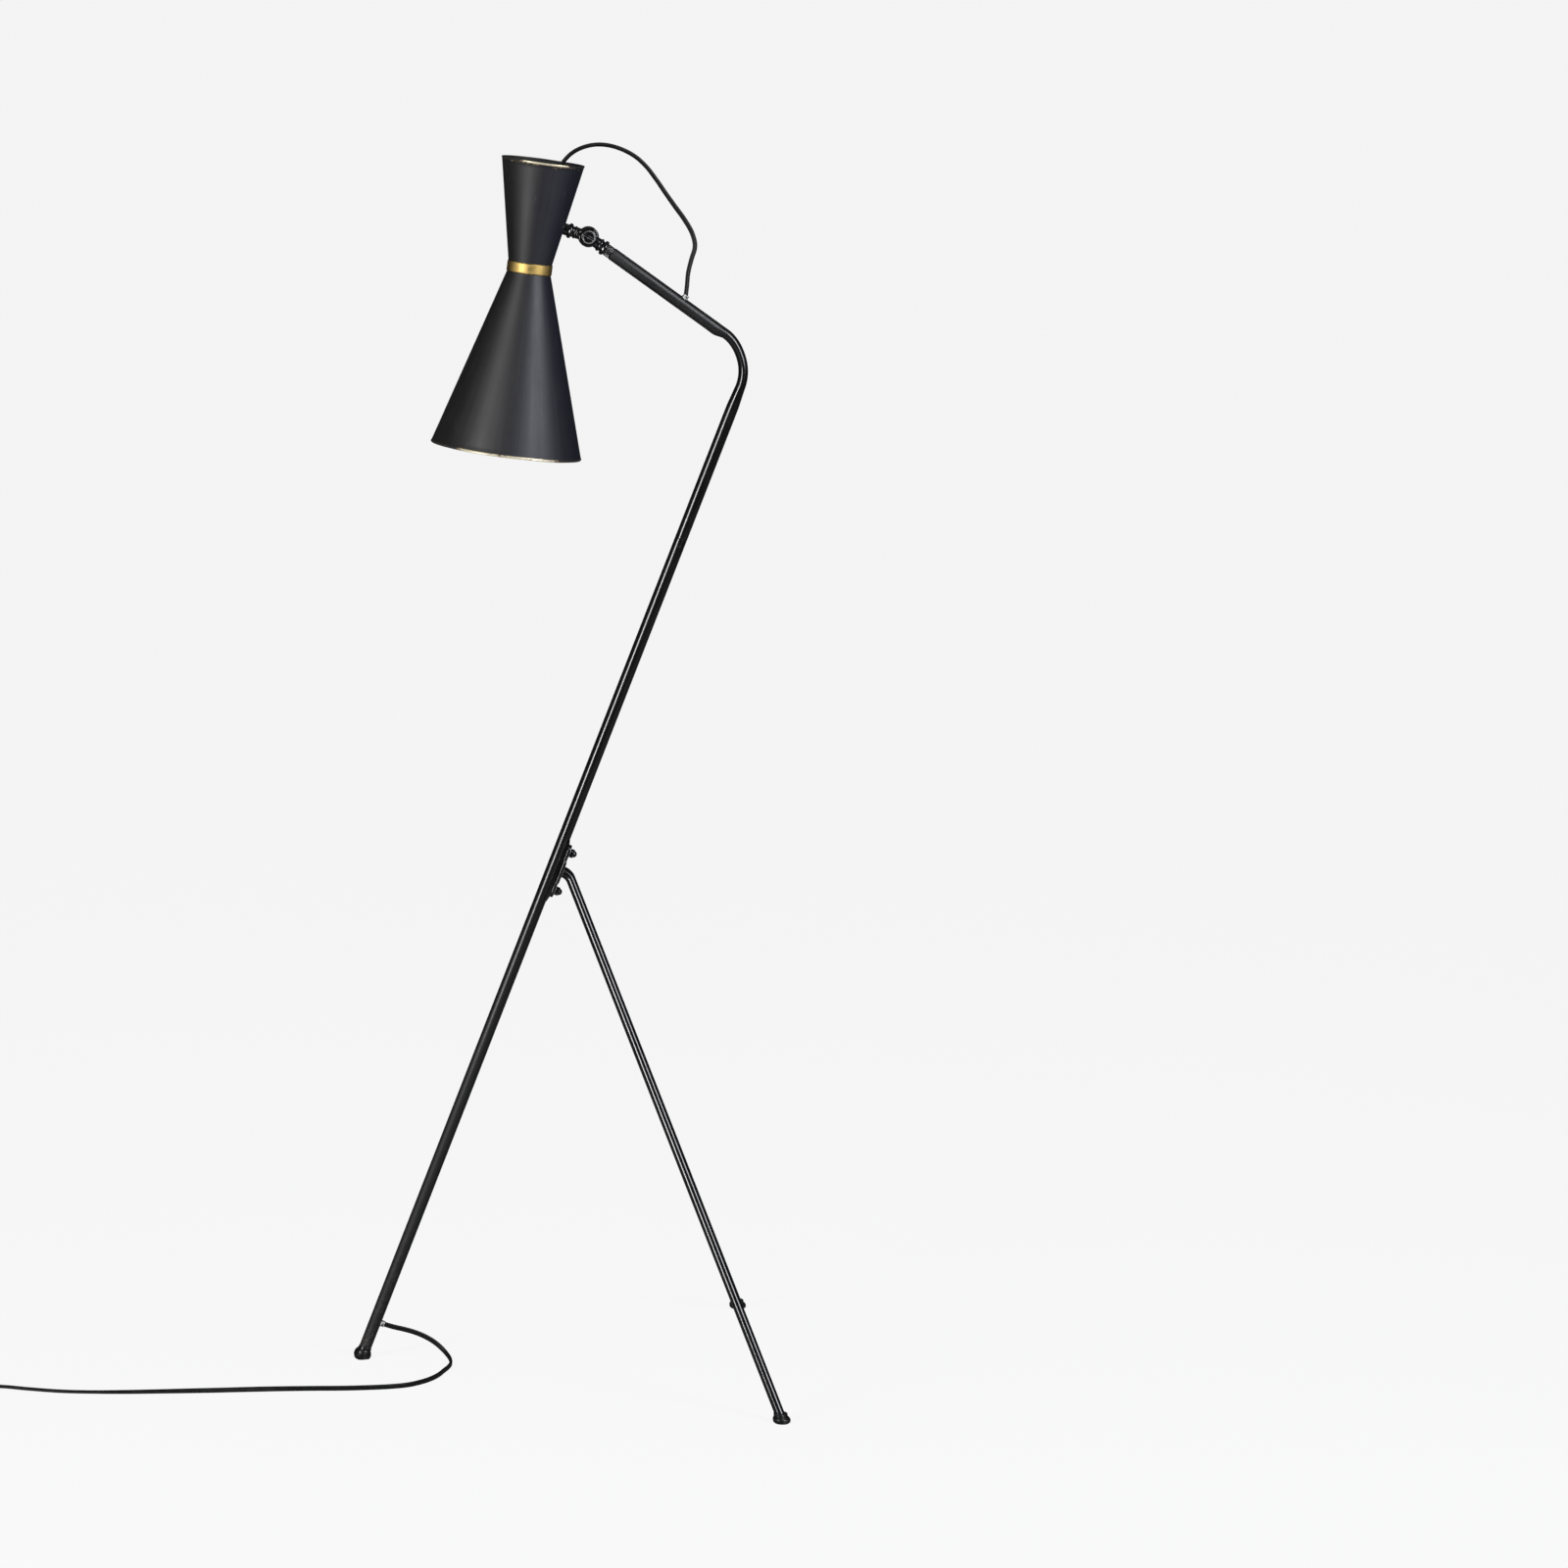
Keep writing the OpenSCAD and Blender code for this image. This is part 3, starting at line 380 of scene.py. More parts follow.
class Paint:
    """A Principled material and short names for the nodes that drive it."""

    def __init__(self, name, base, rough, metal=0.0, **sockets):
        self.material = bpy.data.materials.new(name)
        self.material.use_nodes = True
        self.tree = self.material.node_tree
        self.shader = self.tree.nodes["Principled BSDF"]
        self.put("Base Color", (*base, 1.0))
        self.put("Roughness", rough)
        self.put("Metallic", metal)
        for key, value in sockets.items():
            self.put(key.replace("_", " "), value)
        self.flow = self.make("ShaderNodeAttribute", "Vector", attribute_name="flow")

    def put(self, socket, value):
        self.feed(self.shader, socket, value)

    def feed(self, node, index, value):
        if isinstance(value, bpy.types.NodeSocket):
            self.tree.links.new(value, node.inputs[index])
        elif value is not None:
            node.inputs[index].default_value = value

    def make(self, kind, out, *inputs, **fields):
        """A new node with its fields and its (socket, value) inputs set. Gives its output."""
        made = self.tree.nodes.new(kind)
        for key, value in fields.items():
            setattr(made, key, value)
        for index, value in inputs:
            self.feed(made, index, value)
        return made.outputs[out]

    def skin(self, colour, rough):
        self.put("Base Color", colour)
        self.put("Roughness", rough)

    def stretch(self, scale, shift=(0, 0, 0)):
        return self.make(
            "ShaderNodeMapping", "Vector", ("Vector", self.flow), ("Scale", scale), ("Location", shift)
        )

    def noise(self, scale, detail=3.0, rough=0.55, source=None):
        return self.make(
            "ShaderNodeTexNoise", "Fac", ("Vector", source or self.flow), ("Scale", scale),
            ("Detail", detail), ("Roughness", rough),
        )

    def streaks(self, scale, detail=3.0, rough=0.6, shift=(0, 0, 0)):
        """Noise with its own scale along each way of the flow."""
        return self.noise(1.0, detail, rough, self.stretch(scale, shift))

    def cells(self, scale):
        return self.make("ShaderNodeTexVoronoi", "Distance", ("Vector", self.flow), ("Scale", scale))

    def wave(self, scale, way, twist):
        return self.make(
            "ShaderNodeTexWave", "Fac", ("Vector", self.flow), ("Scale", scale), ("Distortion", twist),
            wave_type="BANDS", bands_direction=way, wave_profile="SIN",
        )

    def span(self, value, low, high, to_low=0.0, to_high=1.0, smooth=False):
        """value from low to high, as a number from to_low to to_high."""
        return self.make(
            "ShaderNodeMapRange", "Result", ("Value", value), ("From Min", low), ("From Max", high),
            ("To Min", to_low), ("To Max", to_high), interpolation_type="SMOOTHSTEP" if smooth else "LINEAR",
        )

    def calc(self, way, a, b=None):
        return self.make(
            "ShaderNodeMath", 0, (0, a), (1, b), operation=way, use_clamp=way in ("ADD", "MULTIPLY")
        )

    def times(self, a, b):
        return self.calc("MULTIPLY", a, b)

    def plus(self, a, b):
        return self.calc("ADD", a, b)

    def mix(self, factor, a, b):
        """Colours a and b mixed by factor."""
        ends = [v if isinstance(v, bpy.types.NodeSocket) else (*v, 1.0) for v in (a, b)]
        return self.make("ShaderNodeMix", 2, (0, factor), (6, ends[0]), (7, ends[1]), data_type="RGBA")

    def mixed(self, factor, a, b):
        """Numbers a and b mixed by factor."""
        return self.make("ShaderNodeMix", 0, (0, factor), (2, a), (3, b), data_type="FLOAT")

    def axis(self, name, source=None):
        return self.make("ShaderNodeSeparateXYZ", name, (0, source or self.flow))

    def near(self, point, radius, soft=0.5):
        """1 within radius of a point of the flow, in metres, fading to 0."""
        away = self.make("ShaderNodeVectorMath", "Value", (0, self.flow), (1, point), operation="DISTANCE")
        return self.span(away, radius * soft, radius, 1.0, 0.0, smooth=True)

    def bump(self, height, strength, depth, under=None):
        made = self.make(
            "ShaderNodeBump", "Normal", ("Height", height), ("Strength", strength), ("Distance", depth),
            ("Normal", under),
        )
        self.put("Normal", made)
        return made


def enamel(name, base, low, high, coat=0.25, wear_from=None, fade=None, matte_to=None, grain=26.0):
    """Black enamel on tube: lengthwise streaks, hair scratches, pinholes and orange peel.
    wear_from, fade and matte_to are (from, to) in metres along the tube: worn at its foot, duller
    upwards to fade's third number, and hatched and matt towards the arm's end."""
    p = Paint(name, base, high, Coat_Weight=coat, Coat_Roughness=0.12)
    streak = p.streaks((650, 650, grain), 4)
    patch = p.noise(38, 4, 0.6)
    rough = p.mixed(p.span(p.times(streak, patch), 0.12, 0.42), low, high)
    hair = p.span(p.streaks((1500, 1500, 22), 2, 0.5, (3, 1, 7)), 0.68, 0.74)
    pits = p.span(p.cells(420), 0.08, 0.03)
    scuff = p.times(hair, p.span(p.noise(21, 2), 0.52, 0.64))
    marks = p.calc("MAXIMUM", scuff, p.times(pits, p.span(p.noise(55, 2), 0.57, 0.7)))
    worn = tuple(0.03 + 1.6 * c for c in base)
    colour = p.mix(marks, base, worn)
    if wear_from is not None:
        along = p.axis("Z")
        low_end = p.span(along, wear_from[0], wear_from[1], 1.0, 0.0, smooth=True)
        rub = p.times(low_end, p.span(p.noise(170, 5, 0.65), 0.47, 0.6))
        colour = p.mix(p.times(rub, 0.3), colour, (0.045, 0.044, 0.042))
        foot_end = p.span(along, 0.012, 0.05, 1.0, 0.0, smooth=True)
        graze = p.times(foot_end, p.span(p.noise(310, 4, 0.6), 0.5, 0.6))
        colour = p.mix(p.times(graze, 0.35), colour, (0.14, 0.125, 0.105))
        rough = p.mixed(low_end, rough, 0.5)
    if fade is not None:
        dull = p.span(p.axis("Z"), fade[0], fade[1], 0.0, 1.0, smooth=True)
        rough = p.mixed(dull, rough, fade[2])
        p.put("Coat Weight", p.mixed(dull, coat, 0.0))
    if matte_to is not None:
        along = p.axis("Z")
        matte = p.span(along, matte_to[0], matte_to[1], 0.0, 1.0, smooth=True)
        hatch = p.span(p.streaks((900, 900, 330), 5, 0.7), 0.4, 0.62)
        colour = p.mix(p.times(matte, p.times(hatch, 0.5)), colour, (0.014, 0.014, 0.015))
        fleck = p.span(p.noise(430, 3, 0.6), 0.60, 0.68)
        colour = p.mix(p.times(matte, p.times(fleck, 0.6)), colour, (0.04, 0.04, 0.041))
        near_end = p.span(along, matte_to[1] + 0.09, matte_to[1] + 0.16, 0.0, 1.0, smooth=True)
        rough = p.mixed(matte, rough, p.mixed(near_end, p.mixed(hatch, 0.36, 0.48), 0.62))
        p.put("Coat Weight", p.mixed(matte, coat, 0.04))
    p.skin(colour, p.plus(rough, p.times(marks, 0.2)))
    peel = p.bump(p.noise(160, 2), 0.06, 0.0003)
    p.bump(p.plus(marks, streak), 0.04, 0.00004, peel)
    return p.material


def shade_black():
    """Satin black lacquer with lengthwise brush streaks and small scuffs, and a painted cast of light across
    it: brownish on its left, blue on its right where the light from the right falls.
    """
    p = Paint("shade_black", (0.02, 0.02, 0.022), 0.44, Specular_IOR_Level=0.5)
    across = p.stretch((1, 1, 0.012))
    fine = p.noise(620, 3, 0.6, across)
    broad = p.noise(95, 4, 0.6, p.stretch((1, 1, 0.05)))
    cloud = p.noise(16, 5, 0.62)
    # Painted light: the paint turns from brownish on the left to blue on the right, where the blue-tinted
    # light from the right falls.
    painted_light_cast = p.span(p.axis("X"), -0.03, 0.03, smooth=True)
    tint = p.mix(painted_light_cast, (0.0060, 0.0057, 0.0050), (0.0056, 0.0056, 0.0150))
    tint = p.mix(p.times(p.span(cloud, 0.35, 0.7), 0.5), tint, (0.0085, 0.0085, 0.0100))
    tint = p.mix(p.times(p.span(fine, 0.45, 0.75), 0.6), tint, (0.016, 0.016, 0.018))
    hair = p.span(p.streaks((900, 900, 16), 2, 0.5, (2, 5, 1)), 0.67, 0.71)
    cross = p.span(p.streaks((60, 60, 2600), 2, 0.5, (5, 2, 4)), 0.72, 0.745)
    thin = p.span(p.noise(24, 3), 0.52, 0.62)
    marks = p.times(p.calc("MAXIMUM", hair, cross), thin)
    specks = p.times(p.span(p.cells(260), 0.085, 0.04), p.span(p.noise(34, 2), 0.56, 0.66))
    marks = p.calc("MAXIMUM", marks, specks)
    tint = p.mix(p.times(marks, 0.4), tint, (0.09, 0.088, 0.084))
    chip = p.noise(260, 5, 0.66)
    high = p.axis("Z")
    top_edge = p.span(high, (UPPER_H - 7.5) * MM, (UPPER_H - 1.5) * MM)
    low_edge = p.span(high, (4.5 - LOWER_H) * MM, (1.5 - LOWER_H) * MM)
    near = p.span(p.axis("Y"), 0.0, -0.03, 0.0, 1.0, smooth=True)
    reach = p.times(p.calc("MAXIMUM", top_edge, low_edge), p.plus(near, 0.25))
    rubbed = p.span(p.plus(chip, p.times(reach, 0.24)), 0.66, 0.72)
    rubbed = p.times(rubbed, p.calc("GREATER_THAN", reach, 0.01))
    tint = p.mix(p.times(rubbed, 0.8), tint, p.mix(reach, (0.05, 0.032, 0.018), (0.24, 0.18, 0.11)))
    p.put("Base Color", tint)
    rough = p.span(p.plus(p.times(broad, 0.5), p.times(cloud, 0.5)), 0.3, 0.7, 0.45, 0.58)
    p.put("Roughness", p.plus(rough, p.times(marks, 0.12)))
    soft = p.bump(p.plus(p.times(cloud, 0.6), p.times(broad, 0.4)), 0.2, 0.0009)
    p.bump(p.plus(p.times(fine, 0.7), marks), 0.24, 0.00009, soft)
    return p.material


def worn_rim(name, wide):
    """A rolled edge worn to pale metal on its near side, wide (0 to 1) round it, and in spots elsewhere."""
    p = Paint(name, (0.6, 0.55, 0.42), 0.4)
    chip = p.noise(150, 6, 0.68)
    size = p.noise(34, 3)
    flat_way = p.make("ShaderNodeVectorMath", 0, (0, p.stretch((1, 1, 0))), operation="NORMALIZE")
    side = p.span(p.axis("Y", flat_way), wide - 1.12, wide - 0.90, 0.22, 0.0, smooth=True)
    wear = p.plus(p.plus(p.times(chip, 0.6), p.times(size, 0.4)), side)
    bare = p.span(wear, 0.60, 0.65)
    fringe = p.span(wear, 0.565, 0.61)
    colour = p.mix(p.noise(420, 4), (0.72, 0.66, 0.50), (0.50, 0.42, 0.27))
    colour = p.mix(fringe, (0.022, 0.02, 0.018), p.mix(bare, (0.13, 0.085, 0.05), colour))
    p.put("Base Color", colour)
    p.put("Metallic", p.times(bare, 0.35))
    p.put("Roughness", p.mixed(bare, 0.5, 0.36))
    p.bump(p.plus(bare, p.times(chip, 0.5)), 0.5, 0.0002)
    return p.material


def inner_enamel(name, base, stain, dull=0.5):
    """Old enamel inside the shade: warm stains, spun rings and dust."""
    p = Paint(name, base, dull)
    cloud = p.noise(22, 5, 0.6)
    dust = p.noise(500, 3, 0.6)
    colour = p.mix(p.span(cloud, 0.4, 0.75), base, stain)
    colour = p.mix(p.times(p.span(dust, 0.55, 0.75), 0.25), colour, tuple(0.7 * c for c in stain))
    p.skin(colour, p.span(cloud, 0.3, 0.7, dull - 0.1, dull + 0.08))
    ring = p.wave(160, "Z", 1.5)
    p.bump(p.plus(p.times(ring, 0.4), dust), 0.12, 0.0001)
    return p.material


def aged_brass(name, patina=0.5, spot=None):
    """Brass with patina. A spot, as (place, radius) in metres, adds a dark patina spot there, dark blotches
    along the band's top and bottom edges, and painted shade on its left and right flanks.
    """
    p = Paint(name, (0.62, 0.44, 0.16), 0.32, metal=1.0)
    cloud = p.noise(70, 5, 0.62)
    line_up = p.streaks((90, 90, 2600), 3)
    dull = p.span(cloud, 0.62 - 0.3 * patina, 0.86 - 0.2 * patina)
    colour = p.mix(p.noise(210, 4), (0.72, 0.54, 0.22), (0.55, 0.38, 0.13))
    colour = p.mix(p.times(dull, 0.8), colour, (0.17, 0.105, 0.035))
    colour = p.mix(p.times(p.span(line_up, 0.5, 0.75), 0.3), colour, (0.30, 0.2, 0.07))
    rough = p.mixed(dull, 0.42, 0.58)
    if spot:
        colour = p.mix(0.5, colour, (0.40, 0.27, 0.075))
        rough = p.mixed(dull, 0.52, 0.66)
        stain = p.times(p.near(*spot), p.span(p.noise(900, 4), 0.3, 0.6, 0.0, 0.5))
        colour = p.mix(stain, colour, (0.07, 0.045, 0.02))
        # Painted shade: the band darkens towards its left and right flanks.
        ends = p.span(p.calc("ABSOLUTE", p.axis("X")), 0.021, 0.0285, smooth=True)
        colour = p.mix(p.times(ends, 0.8), colour, (0.13, 0.075, 0.022))
        edge = p.span(p.calc("ABSOLUTE", p.axis("Z")), 0.0052, 0.0066, smooth=True)
        nick = p.span(p.noise(380, 4), 0.42, 0.6)
        colour = p.mix(p.times(edge, nick), colour, (0.05, 0.033, 0.016))
    p.skin(colour, rough)
    p.bump(p.plus(cloud, line_up), 0.2, 0.00008)
    return p.material


def turned_black(name, base=(0.0045, 0.0045, 0.005), bright=0.6):
    """Blackened turned brass: gloss black with fine turning rings and worn, brighter rises."""
    p = Paint(name, base, 0.22, metal=0.0, Coat_Weight=0.7, Coat_Roughness=0.07)
    ring = p.streaks((60, 60, 3000), 3)
    chip = p.noise(300, 5, 0.65)
    worn = p.span(p.times(chip, p.span(p.noise(160, 3), 0.3, 0.8)), 0.40, 0.50)
    colour = p.mix(p.times(worn, bright), base, (0.23, 0.21, 0.18))
    p.skin(colour, p.mixed(worn, p.span(chip, 0.3, 0.7, 0.14, 0.28), 0.4))
    p.bump(p.plus(ring, chip), 0.10, 0.00006)
    return p.material


def worn_edge_highlight(name, pale, low=0.40, high=0.56):
    """Painted highlights along an edge: stretches of pale grey metal, drawn as if the black had rubbed off.
    """
    p = Paint(name, (pale, pale, pale), 0.3)
    bare = p.span(p.noise(140, 4, 0.6), low, high)
    fine = p.span(p.noise(900, 3), 0.35, 0.7)
    grey = p.mix(fine, (pale, pale, pale), (0.5 * pale, 0.5 * pale, 0.49 * pale))
    p.skin(p.mix(bare, (0.02, 0.02, 0.021), grey), p.mixed(bare, 0.25, 0.38))
    p.put("Metallic", p.times(bare, 0.5))
    p.bump(fine, 0.2, 0.00005)
    return p.material


def metal(name, base, rough=0.3, scratch=0.3):
    """Plated or bare metal with cloudy tarnish and fine scratches."""
    p = Paint(name, base, rough, metal=1.0)
    cloud = p.noise(120, 5, 0.6)
    hair = p.streaks((1200, 120, 120), 3)
    colour = p.mix(p.span(cloud, 0.45, 0.8), base, tuple(0.55 * c for c in base))
    p.skin(colour, p.span(cloud, 0.3, 0.7, rough - 0.08, rough + 0.16))
    p.bump(p.plus(cloud, hair), scratch, 0.00006)
    return p.material


def moulded(name, base, low=0.3, high=0.5, grain=1400, depth=0.00006, coat=0.0):
    """Moulded plastic, rubber or bakelite with a fine grain and handling marks."""
    p = Paint(name, base, high, Coat_Weight=coat, Coat_Roughness=0.12)
    fine = p.noise(grain, 2, 0.5)
    cloud = p.noise(45, 5, 0.6)
    hair = p.span(p.streaks((1300, 90, 500), 2, 0.5), 0.68, 0.72)
    lift = tuple(min(1.0, 0.02 + 1.35 * c) for c in base)
    colour = p.mix(p.span(cloud, 0.4, 0.75), base, lift)
    colour = p.mix(p.times(hair, 0.5), colour, tuple(min(1.0, 0.06 + 1.3 * c) for c in base))
    p.skin(colour, p.span(cloud, 0.3, 0.7, low, high))
    p.bump(p.plus(fine, hair), 0.25, depth)
    return p.material


def stained_nylon():
    """A grey nylon bush with black paint and dirt caught on it."""
    p = Paint("grey_nylon", (0.5, 0.5, 0.48), 0.4)
    dirt = p.span(p.noise(330, 4, 0.6), 0.50, 0.58)
    fine = p.noise(1300, 2, 0.5)
    pale = p.mix(fine, (0.50, 0.50, 0.48), (0.36, 0.36, 0.345))
    p.skin(p.mix(dirt, pale, (0.035, 0.035, 0.034)), p.mixed(dirt, 0.35, 0.5))
    p.bump(p.plus(dirt, fine), 0.25, 0.00006)
    return p.material


def rubber(name, base):
    """Old black rubber with dust in its grain."""
    p = Paint(name, base, 0.6, Specular_IOR_Level=0.4)
    fine = p.noise(900, 4, 0.6)
    cloud = p.noise(85, 5, 0.65)
    dust = p.span(cloud, 0.54, 0.66)
    colour = p.mix(p.times(dust, 0.6), base, (0.085, 0.08, 0.075))
    p.skin(colour, p.span(cloud, 0.3, 0.7, 0.22, 0.5))
    p.bump(p.plus(fine, cloud), 0.35, 0.00025)
    return p.material


def lead_skin():
    """The lead's black skin: smooth, with drawing lines along it and a trace of dust."""
    p = Paint("lead_black", (0.005, 0.005, 0.0055), 0.42, Specular_IOR_Level=0.3)
    drawn = p.streaks((1900, 1900, 9), 3, 0.55)
    cloud = p.noise(60, 4, 0.6)
    colour = p.mix(p.times(p.span(cloud, 0.5, 0.75), 0.5), (0.0045, 0.0045, 0.005), (0.018, 0.018, 0.018))
    p.skin(colour, p.span(cloud, 0.3, 0.7, 0.38, 0.55))
    p.bump(drawn, 0.08, 0.00005)
    return p.material


def frosted():
    """The bulb's pearl glass."""
    p = Paint("bulb_frosted", (0.93, 0.92, 0.88), 0.35, Transmission_Weight=0.55, IOR=1.45)
    cloud = p.noise(40, 4, 0.6)
    colour = p.mix(p.span(cloud, 0.4, 0.8), (0.93, 0.92, 0.88), (0.80, 0.77, 0.70))
    p.skin(colour, p.span(cloud, 0.3, 0.7, 0.3, 0.45))
    p.bump(p.noise(1500, 2), 0.06, 0.00004)
    return p.material


def woven(name, base):
    """The tie's plain weave."""
    p = Paint(name, base, 0.85, Sheen_Weight=0.25)
    warp_way = p.wave(420, "Z", 0.4)
    weft_way = p.wave(420, "Y", 0.4)
    cloth = p.times(warp_way, weft_way)
    p.put("Base Color", p.mix(cloth, tuple(0.5 * c for c in base), tuple(2.2 * c for c in base)))
    p.bump(cloth, 0.8, 0.0003)
    return p.material


BLACK = (0.0040, 0.0040, 0.0043)
POLE_PAINT = enamel("enamel_pole", BLACK, 0.15, 0.30, wear_from=(0.03, 0.30), fade=(0.80, 0.26, 0.62))
ARM_PAINT = enamel("enamel_arm", BLACK, 0.15, 0.30, matte_to=(1.41, 1.47))
LEG_PAINT = enamel("enamel_leg", BLACK, 0.13, 0.25)
CLAMP_PAINT = enamel("enamel_clamp", BLACK, 0.13, 0.26, coat=0.6, grain=300.0)
SHADE_PAINT = shade_black()
TOP_RIM = worn_rim("shade_top_rim", 0.19)
MOUTH_RIM = worn_rim("shade_mouth_rim", 0.22)
INNER_BLACK = inner_enamel("shade_inner_black", (0.003, 0.003, 0.0032), (0.008, 0.0075, 0.007), 0.75)
INNER_CREAM = inner_enamel("shade_inner_cream", (0.66, 0.62, 0.52), (0.52, 0.44, 0.30))
BAND_SPOT = (0.0277 * cos(radians(-92)), 0.0277 * sin(radians(-92)), 0.0004)
BAND = aged_brass("brass_band", 0.45, (BAND_SPOT, 0.0042))
BRASS = aged_brass("brass_inner", 0.3)
TURNED = turned_black("knuckle_black")
SCREW_BLACK = turned_black("knuckle_screw_black", bright=0.8)
# Pale edge paints for the knuckle screw and the clamp: painted highlights.
KNUCKLE_EDGE_HIGHLIGHT = worn_edge_highlight("knuckle_edge_highlight", 0.42)
CLAMP_EDGE_HIGHLIGHT = worn_edge_highlight("clamp_edge_highlight", 0.36, 0.30, 0.52)
STEEL = metal("steel_zinc", (0.55, 0.55, 0.54), 0.34)
NICKEL = metal("nickel", (0.66, 0.63, 0.58), 0.22, 0.2)
ALU_CAP = metal("aluminium_cap", (0.72, 0.72, 0.72), 0.3)
FOOT_RUBBER = rubber("foot_rubber", (0.006, 0.006, 0.006))
NYLON = stained_nylon()
FIBRE = moulded("brown_fibre", (0.12, 0.07, 0.035), 0.6, 0.8)
BAKELITE = moulded("bakelite", (0.022, 0.015, 0.012), 0.16, 0.3, coat=0.3)
CERAMIC = moulded("ceramic", (0.78, 0.76, 0.70), 0.15, 0.3, coat=0.4)
CASE = moulded("case_plastic", (0.014, 0.014, 0.015), 0.38, 0.55)
ROCKER = moulded("rocker_plastic", (0.035, 0.035, 0.038), 0.25, 0.4)
LEAD = lead_skin()
GLASS = frosted()
CLOTH = woven("tie_cloth", (0.03, 0.03, 0.035))


# ---- The leads ----

def curve_pt(a, b, c, d, f):
    """A point at part f of the way from b to c, on the smooth curve through a, b, c and d."""
    return 0.5 * (
        2 * b + (c - a) * f + (2 * a - 5 * b + 4 * c - d) * f * f + (3 * b - a - 3 * c + d) * f * f * f
    )


def smooth_route(points, step):
    out = []
    last = len(points) - 1
    for i in range(last):
        count = max(1, round((points[i + 1] - points[i]).length / step))
        for k in range(count):
            out.append(curve_pt(
                points[max(i - 1, 0)], points[i], points[i + 1], points[min(i + 2, last)], k / count
            ))
    out.append(points[last])
    return out


def twin_section(lobe=1.95, centre=1.4):
    """Half-width 3.35 mm, half-thickness 1.95 mm: two round cores with a groove between them."""
    out = []
    for side in (1, -1):
        for k in range(9):
            a = radians(-128 + 32 * k)
            out.append((side * (centre + lobe * cos(a)), side * lobe * sin(a)))
    return out


TWIN = twin_section()


def flat_lead(name, path, wide_ways):
    """The flat twin lead along path. wide_ways are the directions that its width takes."""
    points, flow = [], []
    run = 0.0
    for i, p in enumerate(path):
        ahead = heading(path, i)
        wide = (wide_ways[i] - wide_ways[i].dot(ahead) * ahead).normalized()
        thick = wide.cross(ahead)
        if i:
            run += (p - path[i - 1]).length
        points.append([p + (a * wide + b * thick) * MM for a, b in TWIN])
        flow.append([Vector((a * MM, b * MM, run)) for a, b in TWIN])
    return grid(name, points, flow, LEAD, sharp=80)


def mm_points(rows):
    """A route from points in mm, where a Vector is already in metres."""
    return [Vector(r) * MM if not isinstance(r, Vector) else r for r in rows]


LEAD_EXIT = pole_pt(POLE_EXIT, GROMMET_END)
HEAD_EXIT = arm_pt(ARM_EXIT, GROMMET_END)
LEAD_ROUTE = mm_points([
    LEAD_EXIT, [-222, 0, 43], [-207, 1, 39.5], [-192, 2, 35], [-178, 3, 28.8], [-166, 3, 21.4],
    [-157, 0, 14.2], [-150.5, -7.5, 8.4], [-147, -19, 4.9], [-147.2, -35, 3.4], [-151.5, -54, 3.3],
    [-158, -72, 3.1], [-165, -92, 3.1], [-175, -112, 3.1], [-189, -131, 3.1], [-208, -148, 3.1],
    [-232, -158, 3.1], [-258, -164, 3.1], [-290, -169, 3.1], [-330, -172, 3.1], [-370, -176, 3.1],
    [-410, -181, 3.1], [-450, -187, 3.1], [-490, -192, 3], [-530, -196, 2.7], [-570, -199, 2.3],
    [-610, -200, 2], [-650, -199, 2.2], [-690, -196, 3.8], [-718, -193, 5.4],
    [-744, -192, 6.5],
])
LINK_ROUTE = mm_points([
    [-800, -192, 6.5], [-812, -192, 5.6], [-824, -192, 4], [-837, -192.2, 3.3], [-850, -192.2, 3.3],
])
TAIL_ROUTE = mm_points([
    [-850, -113.8, 14.6], [-840, -112.6, 14.4], [-830.5, -108.4, 13.2], [-822.5, -101.5, 11],
    [-817.5, -92.5, 8.8], [-815.8, -84, 7.5], [-815.5, -76, 7.2],
])
HEAD_ROUTE = mm_points([
    HEAD_EXIT, [115, 0, 1419], [116, 0, 1436], [119.5, 0, 1453], [123.5, 0, 1470],
    [119, 0, 1487], [108.5, 0, 1504], [96, 0, 1520], [83, 0, 1537], [70, 0, 1554.5],
    [57.5, 0, 1569.5], [43.5, 0, 1581.5], [27, 0, 1590], [9, 0, 1595], [-9, 0, 1595.5],
    [-26, 0, 1591], [-40, 0, 1582.5], [-51, 0, 1569.5], [-59.5, 0, 1554], [-67, 0, 1538],
    [-74.5, 0, 1522], [-79.5, 0, 1508.5], head_pt(0, GRIP_TOP + 0.5),
])
# The coil: its middle, its radii, the height of its first layer, the turns in a layer and their pitch,
# and the part of a layer after which the lead climbs to the next.
COIL = mm(-850, -153, 0)
COIL_OUT, COIL_IN = 39.3, 26.7
COIL_Z = 3.2
LAYERS = 4
LAYER_TURNS = 1.875
LAYER_PITCH = 3.85
CLIMB_FROM = 0.88


def coil_path(per_turn=40):
    """Four layers that spiral in and out in turn, clockwise from above."""
    steps = round(LAYERS * LAYER_TURNS * per_turn)
    out = []
    for k in range(1, steps):
        turns = k / per_turn
        layer, part = divmod(turns / LAYER_TURNS, 1.0)
        r = COIL_OUT + (COIL_IN - COIL_OUT) * (part if int(layer) % 2 == 0 else 1 - part)
        rise = max(0.0, (part - CLIMB_FROM) / (1 - CLIMB_FROM)) if layer < LAYERS - 1 else 0.0
        z = COIL_Z + LAYER_PITCH * (layer + ease(rise))
        a = -pi / 2 - TAU * turns
        out.append(COIL + mm(r * cos(a), r * sin(a), z))
    return out


